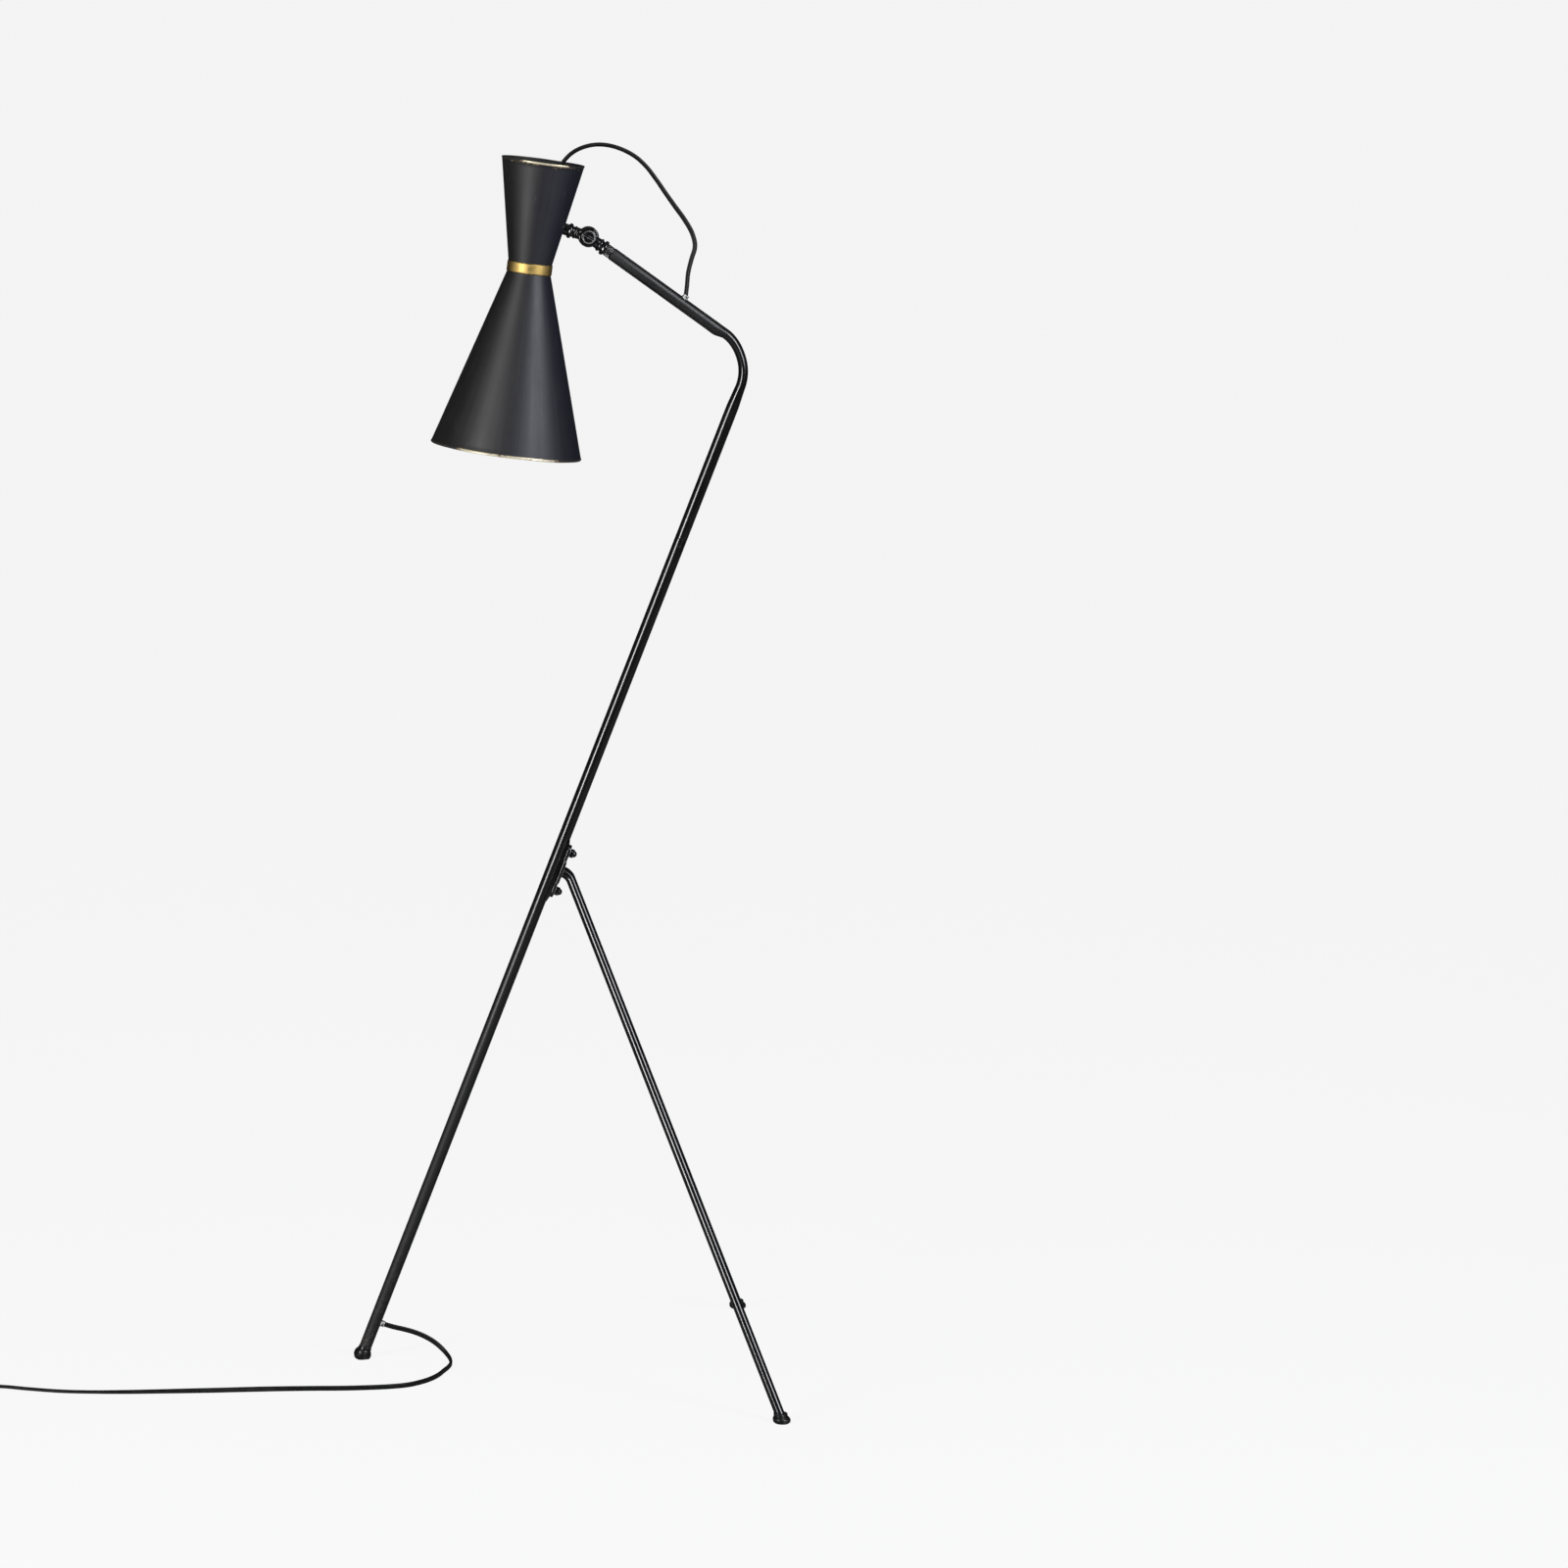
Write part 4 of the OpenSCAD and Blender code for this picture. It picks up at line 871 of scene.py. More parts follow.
def whole_lead():
    """The floor lead: on edge for the first half of what shows, then flat, to the switch, coil and plug."""
    run = smooth_route(LEAD_ROUTE, 0.004)
    path = run + line(LEAD_ROUTE[-1], LINK_ROUTE[0], 0.008)[1:] + smooth_route(LINK_ROUTE, 0.004)
    path += coil_path() + smooth_route(TAIL_ROUTE, 0.003)
    ways = []
    for i in range(len(path)):
        ahead = heading(path, i)
        side = ahead.cross(Vector((0, 0, 1))).normalized()
        part = i / (len(run) - 1)
        roll = pi / 2 * max(0.0, min(1.0, (5 - 6 * part) / 2))
        ways.append(cos(roll) * side + sin(roll) * side.cross(ahead))
    piece = flat_lead("lead", path, ways)
    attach(piece, "stand")
    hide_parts("lead_run", "lead_link", "lead_coil", "lead_tail")
    return piece, path


def upper_lead():
    """The head lead, twisted part of the way round, as it shows in the loop."""
    path = smooth_route(HEAD_ROUTE, 0.004)
    path += line(path[-1], head_pt(0, GRIP_TOP - 7), 0.003)[1:]
    ways = []
    for i in range(len(path)):
        part = i / len(path)
        roll = radians(36) + radians(18) * exp(-((part - 0.25) / 0.13) ** 2)
        ways.append(cos(roll) * ACROSS + sin(roll) * heading(path, i).cross(ACROSS))
    piece = flat_lead("head_lead", path, ways)
    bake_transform(piece, "stand", "head", start=(0.1495, 0, 1.4694), end=(-0.0671, 0, 1.5725))
    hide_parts("head_cord")
    return piece, path


lead, lead_path = whole_lead()
head_lead, head_path = upper_lead()


# ---- Switch, plug and tie ----

fittings = [
    soften(*row, body=body, slot=slot) for body, slot, *row in (
        ("stand", "switch_plastic", "switch_base_shell", "switch_base", CASE, 0.5, 3),
        ("stand", "switch_plastic", "switch_cover_shell", "switch_cover", CASE, 0.8, 3),
        ("stand", "inner_steel", "switch_screw_pair", "switch_screws", STEEL, 0.2, 2),
        ("stand", "inner_brass", "switch_terminal_pair", "switch_terminals", BRASS, 0.2, 1),
        ("stand", "plug_plastic", "plug_shell", "plug_body", CASE, 0.9, 3),
        ("stand", "pin_metal", "plug_pin_pair", "plug_pins", NICKEL, 0.25, 2),
        ("stand", "tie_fabric", "coil_strap", "coil_tie", CLOTH, 0.3, 2),
        ("rocker", "rocker_plastic", "rocker_key", "switch_rocker", ROCKER, 0.5, 3),
    )
]


# ---- Pole, arm and legs ----

def lower_pole():
    path = line(pole_pt(8), pole_pt(SEAM_AT - 0.8), 0.03)
    path += [pole_pt(SEAM_AT - gap) for gap in (0.8, 0.25, 0.05)]
    radii = [(POLE_R,) * 2] * (len(path) - 2) + [(POLE_R - 0.12,) * 2, (POLE_R - 0.4,) * 2]
    tube("pole_lower_tube", path, radii, POLE_PAINT, wall=POLE_WALL, cols=56,
         start=8, body="stand", nodes=("pole_lower",), slot="pole_lacquer")


def upper_pole():
    """The bent tube: pressed flatter in its bend, with its outer side kept and a ridge where it ends."""
    bend_start, bend_end = pole_pt(POLE_RUN - BEND_TANGENT), arm_pt(ARM_RUN - BEND_TANGENT)
    bend_middle = pole_pt(POLE_RUN - BEND_TANGENT, -BEND_R)
    path = [pole_pt(SEAM_AT + gap) for gap in (0.05, 0.25, 0.8)]
    radii = [(POLE_R - 0.4,) * 2, (POLE_R - 0.12,) * 2, (POLE_R,) * 2]
    for p in line(pole_pt(SEAM_AT + 0.8), bend_start, 0.012)[1:]:
        flat = exp(-((p - bend_start).length / MM / 16) ** 2)
        path.append(p)
        radii.append((POLE_R + 0.42 * flat, POLE_R - 1.5 * flat))
    steps = 36
    for k, p in enumerate(arc(bend_middle, POLE_OUT, POLE_DIR, BEND_R, 0, TURN, steps)):
        late = ease(max(0.0, 2 * k / steps - 1))
        thin = POLE_R - 1.85 + 0.35 * (1 - sin(pi * k / steps))
        path.append(p + (p - bend_middle).normalized() * (1.7 * late * MM))
        radii.append((POLE_R + 0.45, thin + 0.1 * late))
    for p in line(bend_end, arm_pt(ARM_END + 0.6), 0.003)[1:]:
        far = (p - bend_end).length / MM
        grow = ease(min(1.0, (far + 2) / 16))
        ridge = 0.12 * exp(-((far - 15) / 5) ** 2)
        path.append(p + ARM_UP * ((1.75 * (1 - grow) - ridge) * MM))
        radii.append((POLE_R + 0.45 - 0.15 * grow, POLE_R - 1.5 + 1.8 * grow + ridge))
    path += [arm_pt(ARM_END + gap) for gap in (0.6, 0.2, 0.0)]
    radii += [(POLE_R + 0.3,) * 2, (POLE_R + 0.2,) * 2, (POLE_R - 0.15,) * 2]
    tube("pole_upper_tube", path, radii, ARM_PAINT, wall=POLE_WALL, cols=56,
         start=SEAM_AT, body="stand", nodes=("pole_upper",), slot="pole_lacquer")


def leg_path(side):
    """From the plate, round the elbow and down to the foot; side is -1 for the near leg, 1 for the far."""
    apart = mm(0, side * LEG_GAP / 2, 0)
    root = pole_pt(PLATE_AT, PLATE_FACE) + apart
    elbow = pole_pt(PLATE_AT, PLATE_FACE + LEG_REACH) + apart
    foot = mm(REAR_X, side * REAR_Y, 5)
    out = (elbow - root).normalized()
    down = (foot - elbow).normalized()
    turn = out.angle(down)
    cut = LEG_BEND_R * tan(turn / 2) * MM
    inward = (down - out.dot(down) * out).normalized()
    middle = elbow - cut * out + LEG_BEND_R * MM * inward
    path = []
    if cut < (elbow - root).length:
        path += line(root, elbow - cut * out, 0.004)
    path += arc(middle, -inward, out, LEG_BEND_R, 0, turn, 14)
    path += line(elbow + cut * down, foot, 0.03)[1:] + [foot]
    return path


def weld_bead(name, middle, normal, radius, width):
    """A hand-laid weld round a leg's root, with its ripples."""
    cols, around = 72, 10
    other = normal.cross(ACROSS).normalized()
    points, flow = [], []
    for i in range(cols):
        a = TAU * i / cols
        ripple = 1 + 0.13 * sin(17 * a) + 0.10 * noise.noise(Vector((cos(a) * 2, sin(a) * 2, radius)))
        out_way = cos(a) * ACROSS + sin(a) * other
        ring = []
        for j in range(around):
            b = TAU * j / around
            out, up = radius + width * ripple * cos(b), width * ripple * sin(b)
            ring.append(middle + (out_way * out + normal * up) * MM)
        points.append(ring)
        flow.append([p.copy() for p in ring])
    grid(name, points, flow, CLAMP_PAINT, rings_close=True, body="stand", slot="bracket_lacquer", sharp=70)


def leg_parts():
    for side, word in ((-1, "near"), (1, "far")):
        path = leg_path(side)
        tube(f"rear_leg_{word}_tube", path, [(LEG_R, LEG_R)] * len(path), LEG_PAINT,
             wall=LEG_WALL, cols=48, body="stand", nodes=(f"rear_leg_{word}",), slot="leg_lacquer")
        root = pole_pt(PLATE_AT, PLATE_FACE + 0.2) + mm(0, side * LEG_GAP / 2, 0)
        weld_bead(f"leg_weld_{word}", root, POLE_OUT, LEG_R + 0.3, 1.1)


def clamp_parts():
    # The rounded edges of the lug, plate and nuts take pale stretches of metal as painted highlights.
    for slot, edge, *row in (
        ("bracket_lacquer", CLAMP_EDGE_HIGHLIGHT, "lug_pad", "pole_lug", CLAMP_PAINT, 0.9, 3),
        ("bracket_lacquer", CLAMP_EDGE_HIGHLIGHT, "leg_plate_piece", "leg_plate", CLAMP_PAINT, 0.9, 3),
        ("bracket_lacquer", CLAMP_EDGE_HIGHLIGHT, "acorn_nut_pair", "clamp_nuts", CLAMP_PAINT, 0.45, 3, 24),
        ("inner_steel", None, "clamp_washer_pair", "clamp_washers", CLAMP_PAINT, 0.25, 2),
    ):
        soften(*row, body="stand", slot=slot, edge=edge)


def foot_parts():
    place = pole_frame(0)
    profile = rounded([
        (0, -3.4, 0), (4.4, -3.4, 0), (8.6, -0.9, 3), (11.3, 4.0, 4), (11.5, 8.2, 3), (9.9, 11.8, 2.2),
        (8.75, 13.6, 1.2), (8.6, 16.6, 0.4), (8.2, 17.0, 0.2), (8.0, 16.4, 0), (8.0, 8.2, 0), (0, 8.2, 0),
    ])

    def squash(a, r, z):
        lump = 0.34 * noise.noise(Vector((cos(a) * 1.6, sin(a) * 1.6, z * 0.22)))
        fold = -0.6 * exp(-((a - 4.6 - 0.05 * (z - 3)) / 0.13) ** 2) * max(0.0, 1 - abs(z - 4) / 8)
        fold -= 0.45 * exp(-((a - 5.3 + 0.04 * (z - 3)) / 0.1) ** 2) * max(0.0, 1 - abs(z - 5) / 6)
        return (lump + fold) * min(1.0, r / 8), 0.0

    front = lathe("front_foot_cap", profile, place, FOOT_RUBBER, cols=72, warp=squash,
                  body="stand", nodes=("front_foot",), slot="foot_rubber")
    for v in front.data.vertices:
        v.co.z = max(v.co.z, 0.0)
    for side, word in ((-1, "near"), (1, "far")):
        path = leg_path(side)
        lean = (path[-2] - path[-1]).normalized()
        place = Matrix.Translation(mm(REAR_X, side * REAR_Y, 0))
        profile = rounded([
            (0, 0, 0), (8.6, 0, 1.2), (11.2, 2.0, 2.2), (11.4, 6.2, 2.4), (9.4, 8.9, 1.4), (8.7, 9.6, 0.9),
            (8.75, 12.6, 0.9), (7.3, 13.4, 0.5), (6.0, 13.2, 0), (0, 13.2, 0),
        ])

        def slope(a, r, z):
            lump = 0.22 * noise.noise(Vector((cos(a) * 1.7 + side, sin(a) * 1.7, z * 0.25)))
            tip = Vector((lean.x, lean.y)) * max(0.0, z - 4) * 0.7
            shift = tip.x * cos(a) + tip.y * sin(a)
            return (lump if z > 0.5 else 0.0) * min(1.0, r / 8) + (shift if r > 5 else 0.0), 0.0

        lathe(f"rear_foot_{word}_cap", profile, place, FOOT_RUBBER, cols=64, warp=slope,
              body="stand", nodes=(f"rear_foot_{word}",), slot="foot_rubber")


def bush_parts():
    profile = rounded([
        (3.4, 5.2, 0), (4.2, 5.2, 0.2), (4.2, 7.6, 0), (4.5, 7.7, 0.3), (4.55, 9.2, 0.5), (4.0, 9.8, 0.3),
        (4.3, 12.0, 0.5), (4.0, 12.7, 0.4), (3.4, 12.5, 0.3),
    ], closed=True)
    for name, node, frame_there, turn in (
        ("pole_grommet", "pole_bush", pole_frame(POLE_EXIT), pi / 2),
        ("arm_grommet", "arm_bush", arm_frame(ARM_EXIT), -pi / 2),
    ):
        lathe(name, profile, frame_there @ Matrix.Rotation(turn, 4, "Y"), NYLON, cols=48, closed=True,
              body="stand", nodes=(node,), slot="bush_plastic")


# ---- Knuckle ----

def ring_piece(name, place, z, h, r_out, node, body="stand", r_in=5.0):
    """A lock ring from z to z + h mm, with a round outer edge."""
    corners = [
        (r_in, z), (r_out - h * 0.42, z, 0.5), (r_out, z + h * 0.5, h * 0.4),
        (r_out - h * 0.42, z + h, 0.5), (r_in, z + h),
    ]
    return lathe(name, rounded(corners, closed=True), place, TURNED, cols=72, closed=True,
                 body=body, nodes=(node,), slot="knuckle_black")


def knurl(a, r, z, low, high, base, depth=0.34, teeth=34):
    """A diamond knurl between two heights of a barrel."""
    if not low < z < high or abs(r - base) > 0.5:
        return 0.0
    edge = min(1.0, (z - low) / 0.6, (high - z) / 0.6)
    pitch = TAU * base / teeth
    one = abs(((a * teeth / TAU + z / pitch * 0.9) % 1.0) - 0.5) * 2
    two = abs(((a * teeth / TAU - z / pitch * 0.9) % 1.0) - 0.5) * 2
    return edge * depth * (min(one, two) * 2 - 0.6)


def ferrule():
    profile = rounded([
        (5.0, 20, 0), (7.0, 20, 0.4), (7.2, 22.0, 0), (9.4, 22.3, 0.5), (10.2, 24.5, 1.6),
        (9.4, 26.7, 0.5), (7.5, 27.0, 0.2),
    ])
    profile += [Vector((7.55, 27.2 + 0.22 * k)) for k in range(41)]
    profile += rounded([(7.5, 36.4, 0), (7.7, 36.9, 0.2), (6.4, 37.0, 0.1), (6.4, 52.5, 0.3), (5.0, 52.8, 0)])
    profile += [Vector((5.0, 52.3)), Vector((5.0, 20.5))]

    def warp(a, r, z):
        return knurl(a, r, z, 27.4, 36.0, 7.55), 0.0

    lathe("arm_ferrule_barrel", profile, arm_frame(0), TURNED, cols=204, closed=True, warp=warp,
          body="stand", nodes=("arm_ferrule",), slot="knuckle_black", sharp=50)


def fused(name, parts, voxel, material, relax=3, **rest):
    """One smooth skin round several closed meshes, like a casting, with rounded inner corners."""
    bm = bmesh.new()
    for piece in parts:
        bm.from_mesh(piece.data)
    me = bpy.data.meshes.new(name + "_raw")
    bm.to_mesh(me)
    bm.free()
    for piece in parts:
        bpy.data.objects.remove(piece)
    raw = add_object(name + "_raw", me)
    remesh = raw.modifiers.new("skin", "REMESH")
    remesh.mode = "VOXEL"
    remesh.voxel_size = voxel * MM
    smooth = raw.modifiers.new("relax", "SMOOTH")
    smooth.factor = 0.5
    smooth.iterations = relax
    bpy.context.view_layer.update()
    depsgraph = bpy.context.evaluated_depsgraph_get()
    done = bpy.data.meshes.new_from_object(raw.evaluated_get(depsgraph))
    done.name = name
    bpy.data.objects.remove(raw)
    for key in [k.name for k in done.attributes if k.name == "flow"]:
        done.attributes.remove(done.attributes[key])
    done.materials.clear()
    return finish_mesh(name, done, material, sharp=75, **rest)


def knuckle_halves():
    """Each half is a disc with a rounded rim and a neck that flares into it."""
    for word, node, body, place, neck_way, stem in (
        ("arm", "knuckle_arm_half", "stand", Matrix.Translation(KNUCKLE) @ Matrix.Rotation(-pi / 2, 4, "X"),
         ARM_DROP, 50.0),
        ("head", "knuckle_head_half", "head", Matrix.Translation(KNUCKLE) @ Matrix.Rotation(pi / 2, 4, "X"),
         pi - UPPER_ANGLE - SHADE_TILT, STEM_REACH + 14),
    ):
        disc = lathe("knuckle_disc", rounded([
            (3.05, 0.85, 0), (12.9, 0.85, 0.3), (13.25, 1.2, 0.3), (13.25, 5.6, 1.5), (11.7, 7.0, 1.2),
            (3.05, 7.0, 0),
        ], closed=True), place, TURNED, cols=120, closed=True)
        neck_place = place @ Matrix.Rotation(neck_way, 4, "Z") @ Matrix.Rotation(pi / 2, 4, "Y")
        neck = lathe("knuckle_neck", rounded([
            (0, 10.2, 0), (6.8, 10.2, 0.4), (7.3, 13.0, 1.5), (7.4, 15.6, 0.5), (6.9, 16.0, 0.3),
            (0, 16.0, 0),
        ]), neck_place, TURNED, cols=72)
        squeeze = place.inverted()
        for v in neck.data.vertices:
            local = squeeze @ v.co
            local.z = min(max(local.z, -7.4 * MM), 7.0 * MM)
            v.co = place @ local
        fused(f"knuckle_{word}_casting", [disc, neck], 0.27, TURNED, relax=2, body=body, nodes=(node,),
              slot="knuckle_black")
        lathe(f"knuckle_{word}_stem", rounded([
            (0, 12, 0), (4.95, 12, 0.2), (4.95, stem - 0.8, 0), (4.3, stem, 0.2), (0, stem, 0),
        ]), neck_place, STEEL, cols=48, body=body, slot="knuckle_black")


def half_disc(name, profile, place, side, gap):
    """A turned disc, cut off flat at gap mm from its middle on one side."""
    piece = lathe(name, profile, place, SCREW_BLACK, cols=96)
    cut_way = (place.to_3x3() @ Vector((0, side, 0))).normalized()
    bm = bmesh.new()
    bm.from_mesh(piece.data)
    bmesh.ops.bisect_plane(
        bm, geom=bm.verts[:] + bm.edges[:] + bm.faces[:], plane_co=place.translation + cut_way * gap * MM,
        plane_no=cut_way, clear_inner=True,
    )
    bmesh.ops.holes_fill(bm, edges=[e for e in bm.edges if e.is_boundary])
    bmesh.ops.recalc_face_normals(bm, faces=bm.faces)
    bm.to_mesh(piece.data)
    bm.free()
    return piece


def slotted_screw():
    """A cheese head with a turned groove round its slotted middle."""
    place = knuckle_frame(7.2) @ Matrix.Rotation(radians(-28), 4, "Z")
    base = lathe("screw_base", rounded([(0, 0, 0), (9.7, 0, 0.3), (9.7, 1.5, 0), (0, 1.5, 0)]),
                 place, SCREW_BLACK, cols=120)
    rim = lathe("screw_rim", rounded([
        (8.35, 0.6, 0), (9.7, 0.6, 0), (9.7, 2.6, 0.7), (9.2, 3.1, 0.5), (8.35, 3.1, 0.5),
    ], closed=True), place, SCREW_BLACK, cols=120, closed=True)
    middle = rounded([(0, 0.6, 0), (7.15, 0.6, 0), (7.15, 3.0, 0.5), (0, 3.35, 0)])
    slot_half = 0.95
    parts = [base, rim] + [half_disc("screw_half", middle, place, side, slot_half) for side in (-1, 1)]
    fused("slotted_screw_head", parts, 0.17, SCREW_BLACK, relax=2, body="stand", nodes=("knuckle_screw",),
          slot="knuckle_black")
    # Painted highlights: a pale ring on the groove's crest and pale strips along the slot's edges.
    crest = rounded([(7.2, 2.2, 0), (8.3, 2.2, 0), (8.3, 3.2, 0.45), (7.2, 3.2, 0.45)], closed=True)
    lathe("screw_highlight_ring", crest, place, KNUCKLE_EDGE_HIGHLIGHT, cols=96, closed=True,
          body="stand", slot="knuckle_black")
    for side in (-1, 1):
        verge = [
            (a * 6.9, side * (slot_half + b), 2.9 + c)
            for a in (-1, 1) for b, c in ((0, 0), (0.55, 0), (0.55, 0.5), (0, 0.42))
        ]
        me = bpy.data.meshes.new("screw_slot_highlight")
        me.from_pydata([place @ (Vector(v) * MM) for v in verge], [], [
            (0, 1, 2, 3), (7, 6, 5, 4), (0, 4, 5, 1), (1, 5, 6, 2), (2, 6, 7, 3), (3, 7, 4, 0),
        ])
        bm = bmesh.new()
        bm.from_mesh(me)
        bmesh.ops.recalc_face_normals(bm, faces=bm.faces)
        bm.to_mesh(me)
        bm.free()
        finish_mesh("screw_slot_highlight", me, KNUCKLE_EDGE_HIGHLIGHT, body="stand", slot="knuckle_black")
    shank = rounded([(0, -24, 0), (2.6, -24, 0.4), (3.0, -23.4, 0.2), (3.0, 0.4, 0), (0, 0.4, 0)])
    lathe("slotted_screw_shank", shank, place, STEEL, cols=40, body="stand", slot="inner_steel")


def knuckle_parts():
    ferrule()
    ring_piece("arm_lock_ring_bead", arm_frame(0), 16.05, 3.9, 9.35, "arm_lock_ring")
    knuckle_halves()
    soften("friction_disc", "friction_washer", FIBRE, 0.15, 2, body="stand", slot="washer_fibre")
    slotted_screw()
    soften("key_washer", "knuckle_washer", STEEL, 0.2, 2, body="stand", slot="inner_steel")
    soften("back_nut", "knuckle_nut", TURNED, 0.4, 2, body="stand", slot="knuckle_black")
    place = stem_frame(0)
    ring_piece("stem_lock_ring_bead", place, 16.05, 3.9, 8.65, "stem_lock_ring", body="head")
    profile = rounded([
        (5.0, 20.1), (7.0, 20.1, 0.4), (7.1, 22.4, 0), (9.0, 22.7, 0.5), (10.0, 24.9, 1.6), (9.0, 27.1, 0.5),
        (7.4, 27.3, 0.3), (7.6, 29.6, 0.3), (7.5, STEM_REACH + 0.85, 0.1), (5.0, STEM_REACH + 0.85),
    ], closed=True)
    lathe("stem_collar_barrel", profile, place, TURNED, cols=96, closed=True, body="head",
          nodes=("stem_collar",), slot="knuckle_black")


# ---- Shade ----

def dense(a, b, count):
    """Points from a to b, without a, on a straight line."""
    return [(a[0] + (b[0] - a[0]) * k / count, a[1] + (b[1] - a[1]) * k / count) for k in range(1, count + 1)]


def uneven(height, reach, *waves):
    """Lets an edge wander within reach mm of it: (size, waves round, seed) for radius, then height."""
    def warp(a, r, z):
        near = max(0.0, (abs(z) - height + reach) / reach)
        return tuple(
            size * near * noise.noise(Vector((count * cos(a), count * sin(a), seed)))
            for size, count, seed in waves
        )
    return warp


def cone(name, node, outside, steps, rim, inside, paints, cols, warp):
    """A spun cone with a rolled rim: one paint outside, one on the rim and one inside."""
    profile = outside[:-1] + dense(outside[-2], outside[-1], steps) + rim
    slots = [0] * (len(profile) - len(rim) - 1) + [1] * len(rim) + [2] * (len(inside) + 1)
    lathe(name, profile + inside, HEAD, paints, cols=cols, closed=True, warp=warp, row_slots=slots,
          body="head", nodes=(node,), slot="shade_outside")


def shade_parts():
    wall = 1.0
    outside = [tuple(p) for p in rounded([
        (WAIST_R, 0, 0), (WAIST_R, NECK_H, 1.2), (TOP_R - 0.25, UPPER_H - 2.6, 0),
    ])]
    rim = [(TOP_R + out, UPPER_H - down) for out, down in (
        (0.10, 2.2), (0.42, 1.5), (0.5, 0.8), (0.2, 0.15), (-0.45, 0), (-1.05, 0.3), (-1.35, 1.1),
    )]
    inside = [(TOP_R - wall - 0.45, UPPER_H - 3.0), (WAIST_R - wall, NECK_H), (WAIST_R - wall, 0)]
    cone("shade_upper_cone", "shade_upper", outside, 22, rim, inside, [SHADE_PAINT, TOP_RIM, INNER_BLACK],
         144, uneven(UPPER_H, 12, (0.22, 2, 5.0), (0.28, 1.5, 9.0)))

    outside = [tuple(p) for p in rounded([
        (WAIST_R, 0, 0), (WAIST_R, -NECK_H, 1.2), (MOUTH_R - 0.5, -LOWER_H + 3.0, 0),
    ])]
    rim = [(MOUTH_R + out, -LOWER_H + up) for out, up in (
        (0.05, 2.1), (0.4, 1.3), (0.35, 0.6), (-0.1, 0.05), (-0.8, 0), (-1.45, 0.4), (-1.75, 1.4),
    )]
    inside = [(MOUTH_R - wall - 1.0, -LOWER_H + 3.4), (WAIST_R - wall, -NECK_H), (WAIST_R - wall, 0)]
    cone("shade_lower_cone", "shade_lower", outside, 34, rim, inside, [SHADE_PAINT, MOUTH_RIM, INNER_CREAM],
         176, uneven(LOWER_H, 20, (0.35, 1.6, 2.0), (0.5, 2.2, 7.0)))

    band = rounded([
        (WAIST_R, -NECK_H), (BAND_R - 0.25, -NECK_H, 0.3), (BAND_R + 0.1, -NECK_H + 1.2, 1.2),
        (BAND_R + 0.1, NECK_H - 1.2, 1.2), (BAND_R - 0.25, NECK_H, 0.3), (WAIST_R, NECK_H),
    ], closed=True)
    lathe("waist_band_ring", band, HEAD, BAND, cols=128, closed=True, body="head",
          nodes=("waist_band",), slot="band_brass")


def holder_parts():
    for slot, *row in (
        ("inner_steel", "saddle_ring", "saddle_washer", STEEL, 0.2),
        ("inner_steel", "stem_nut_piece", "stem_nut", STEEL, 0.4),
        ("inner_steel", "bracket_strip", "holder_bracket", STEEL, 0.35),
        ("inner_brass", "nipple_nut_piece", "nipple_nut", BRASS, 0.3),
        ("bakelite", "cord_grip_cone", "cord_grip", BAKELITE, 0.35),
        ("bakelite", "holder_cap_shell", "holder_cap", BAKELITE, 0.5),
        ("bakelite", "holder_body_shell", "holder_body", BAKELITE, 0.35),
    ):
        soften(*row, body="head", slot=slot)
    glass = soften("bulb_globe", "bulb_glass", GLASS, 0.0, body="head", slot="bulb_glass")
    glass.data.set_sharp_from_angle(angle=radians(60))


def paint_nodes():
    """The CAD nodes whose shape is right keep it, and take their material here."""
    for node, material in (
        ("pole_sleeve", STEEL), ("pole_set_screw", STEEL), ("clamp_studs", STEEL), ("inner_lead", LEAD),
        ("waist_sleeve", STEEL), ("holder_nipple", BRASS), ("holder_insert", CERAMIC),
        ("centre_contact", BRASS), ("screw_shell", BRASS), ("bulb_cap", ALU_CAP),
    ):
        piece = frame["nodes"][node]
        layer = piece.data.attributes.new("flow", "FLOAT_VECTOR", "POINT")
        for i, v in enumerate(piece.data.vertices):
            layer.data[i].vector = v.co
        piece.data.materials.clear()
        piece.data.materials.append(material)


lower_pole()
upper_pole()
leg_parts()
clamp_parts()
foot_parts()
bush_parts()
knuckle_parts()
shade_parts()
holder_parts()
paint_nodes()


# ---- Floor, light and view, with lights in watts ----

def area_light(name, place, target, size, power, colour=(1, 1, 1)):
    data = bpy.data.lights.new(name, "AREA")
    data.shape = "RECTANGLE"
    data.size, data.size_y = size
    data.energy = power
    data.color = colour
    light = add_object(name, data)
    way = Vector(target) - Vector(place)
    light.matrix_world = Matrix.Translation(place) @ way.to_track_quat("-Z", "Y").to_matrix().to_4x4()


FLOOR_SEEN = 0.90
FLOOR_SHADE = 0.05
FLOOR_BOUNCE = 0.22
WORLD_SEEN = 0.895
WORLD_DIM = 0.024
KEY_POWER = 130
FILL_POWER = 84
TOP_POWER = 4


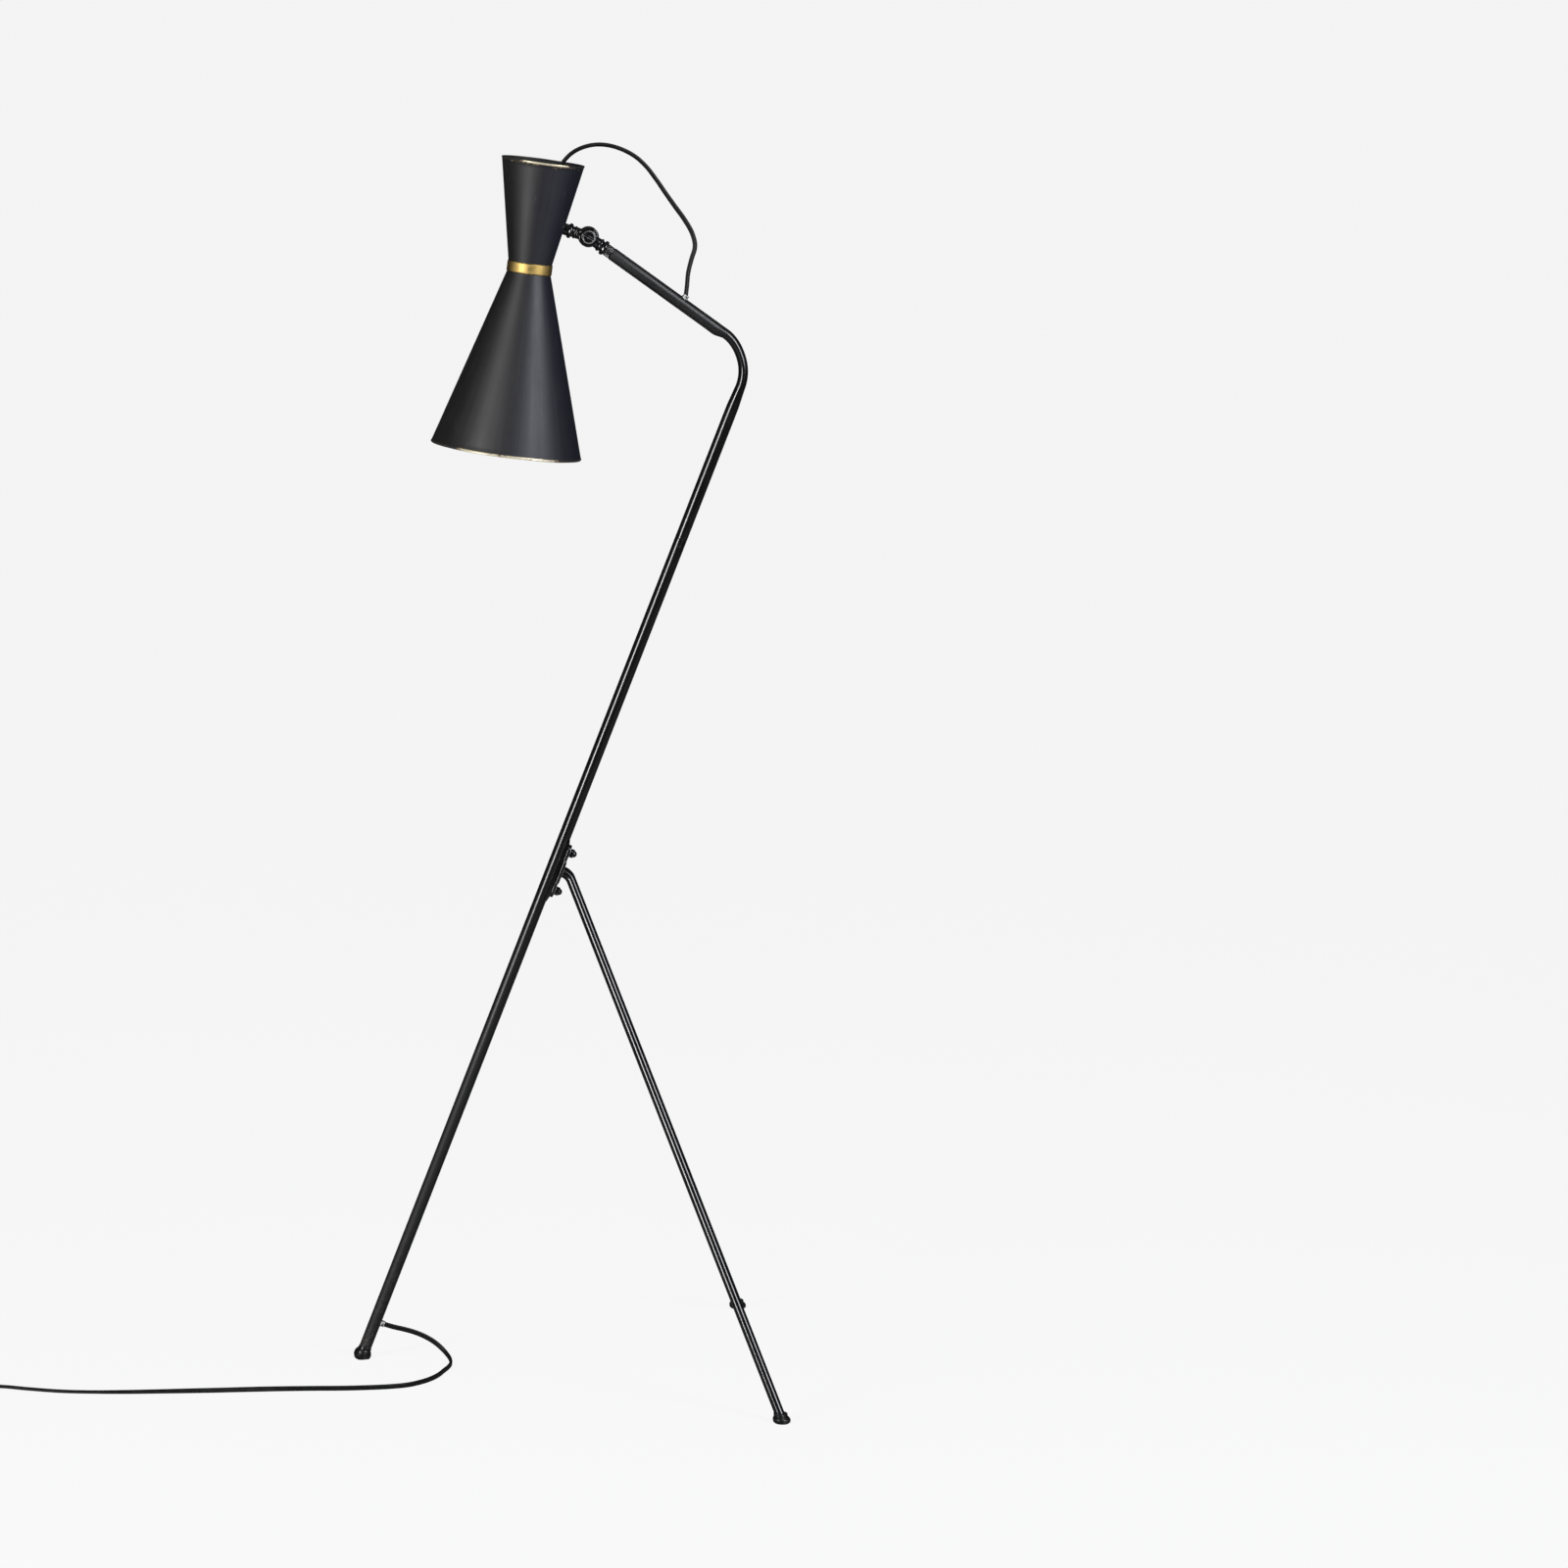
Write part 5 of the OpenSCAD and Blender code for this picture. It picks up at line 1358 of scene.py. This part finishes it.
def by_ray(tree, bounced, seen):
    """One value for light that bounces and one for what the camera sees directly."""
    path = tree.nodes.new("ShaderNodeLightPath")
    tone = tree.nodes.new("ShaderNodeMapRange")
    tree.links.new(path.outputs["Is Camera Ray"], tone.inputs["Value"])
    tone.inputs["To Min"].default_value = bounced
    tone.inputs["To Max"].default_value = seen
    return tone.outputs["Result"]


def studio():
    """A pale floor with the even tone of a lit studio, dim surroundings, and three soft lights."""
    me = bpy.data.meshes.new("floor")
    half = 90.0
    corners = [(-half, -half, 0), (half, -half, 0), (half, half, 0), (-half, half, 0)]
    me.from_pydata(corners, [], [(0, 1, 2, 3)])
    floor_piece = add_object("floor", me)
    paint = bpy.data.materials.new("floor_pale")
    paint.use_nodes = True
    tree = paint.node_tree
    tree.nodes.clear()
    even = tree.nodes.new("ShaderNodeEmission")
    even.inputs["Color"].default_value = (FLOOR_SEEN, FLOOR_SEEN, FLOOR_SEEN, 1)
    tree.links.new(by_ray(tree, 0.0, 1.0), even.inputs["Strength"])
    matt = tree.nodes.new("ShaderNodeBsdfDiffuse")
    tree.links.new(by_ray(tree, FLOOR_BOUNCE, FLOOR_SHADE), matt.inputs["Color"])
    both = tree.nodes.new("ShaderNodeAddShader")
    tree.links.new(even.outputs[0], both.inputs[0])
    tree.links.new(matt.outputs[0], both.inputs[1])
    out = tree.nodes.new("ShaderNodeOutputMaterial")
    tree.links.new(both.outputs[0], out.inputs["Surface"])
    me.materials.append(paint)

    world = bpy.data.worlds.new("studio")
    bpy.context.scene.world = world
    world.use_nodes = True
    back = world.node_tree.nodes["Background"]
    back.inputs["Color"].default_value = (1, 1, 1, 1)
    world.node_tree.links.new(by_ray(world.node_tree, WORLD_DIM, WORLD_SEEN), back.inputs["Strength"])
    area_light("key", (-2.50, -2.60, 1.76), (-0.08, 0, 1.3), (0.75, 2.3), KEY_POWER)
    area_light("fill", (1.95, -1.95, 2.35), (-0.08, 0, 1.4), (1.0, 2.0), FILL_POWER, (0.93, 0.95, 1.0))
    area_light("top", (0.2, 0.4, 4.2), (0, 0, 0.6), (2.0, 2.0), TOP_POWER)
    view = bpy.context.scene.view_settings
    view.view_transform = "Standard"
    view.look = "None"
    view.exposure = 0.0


studio()
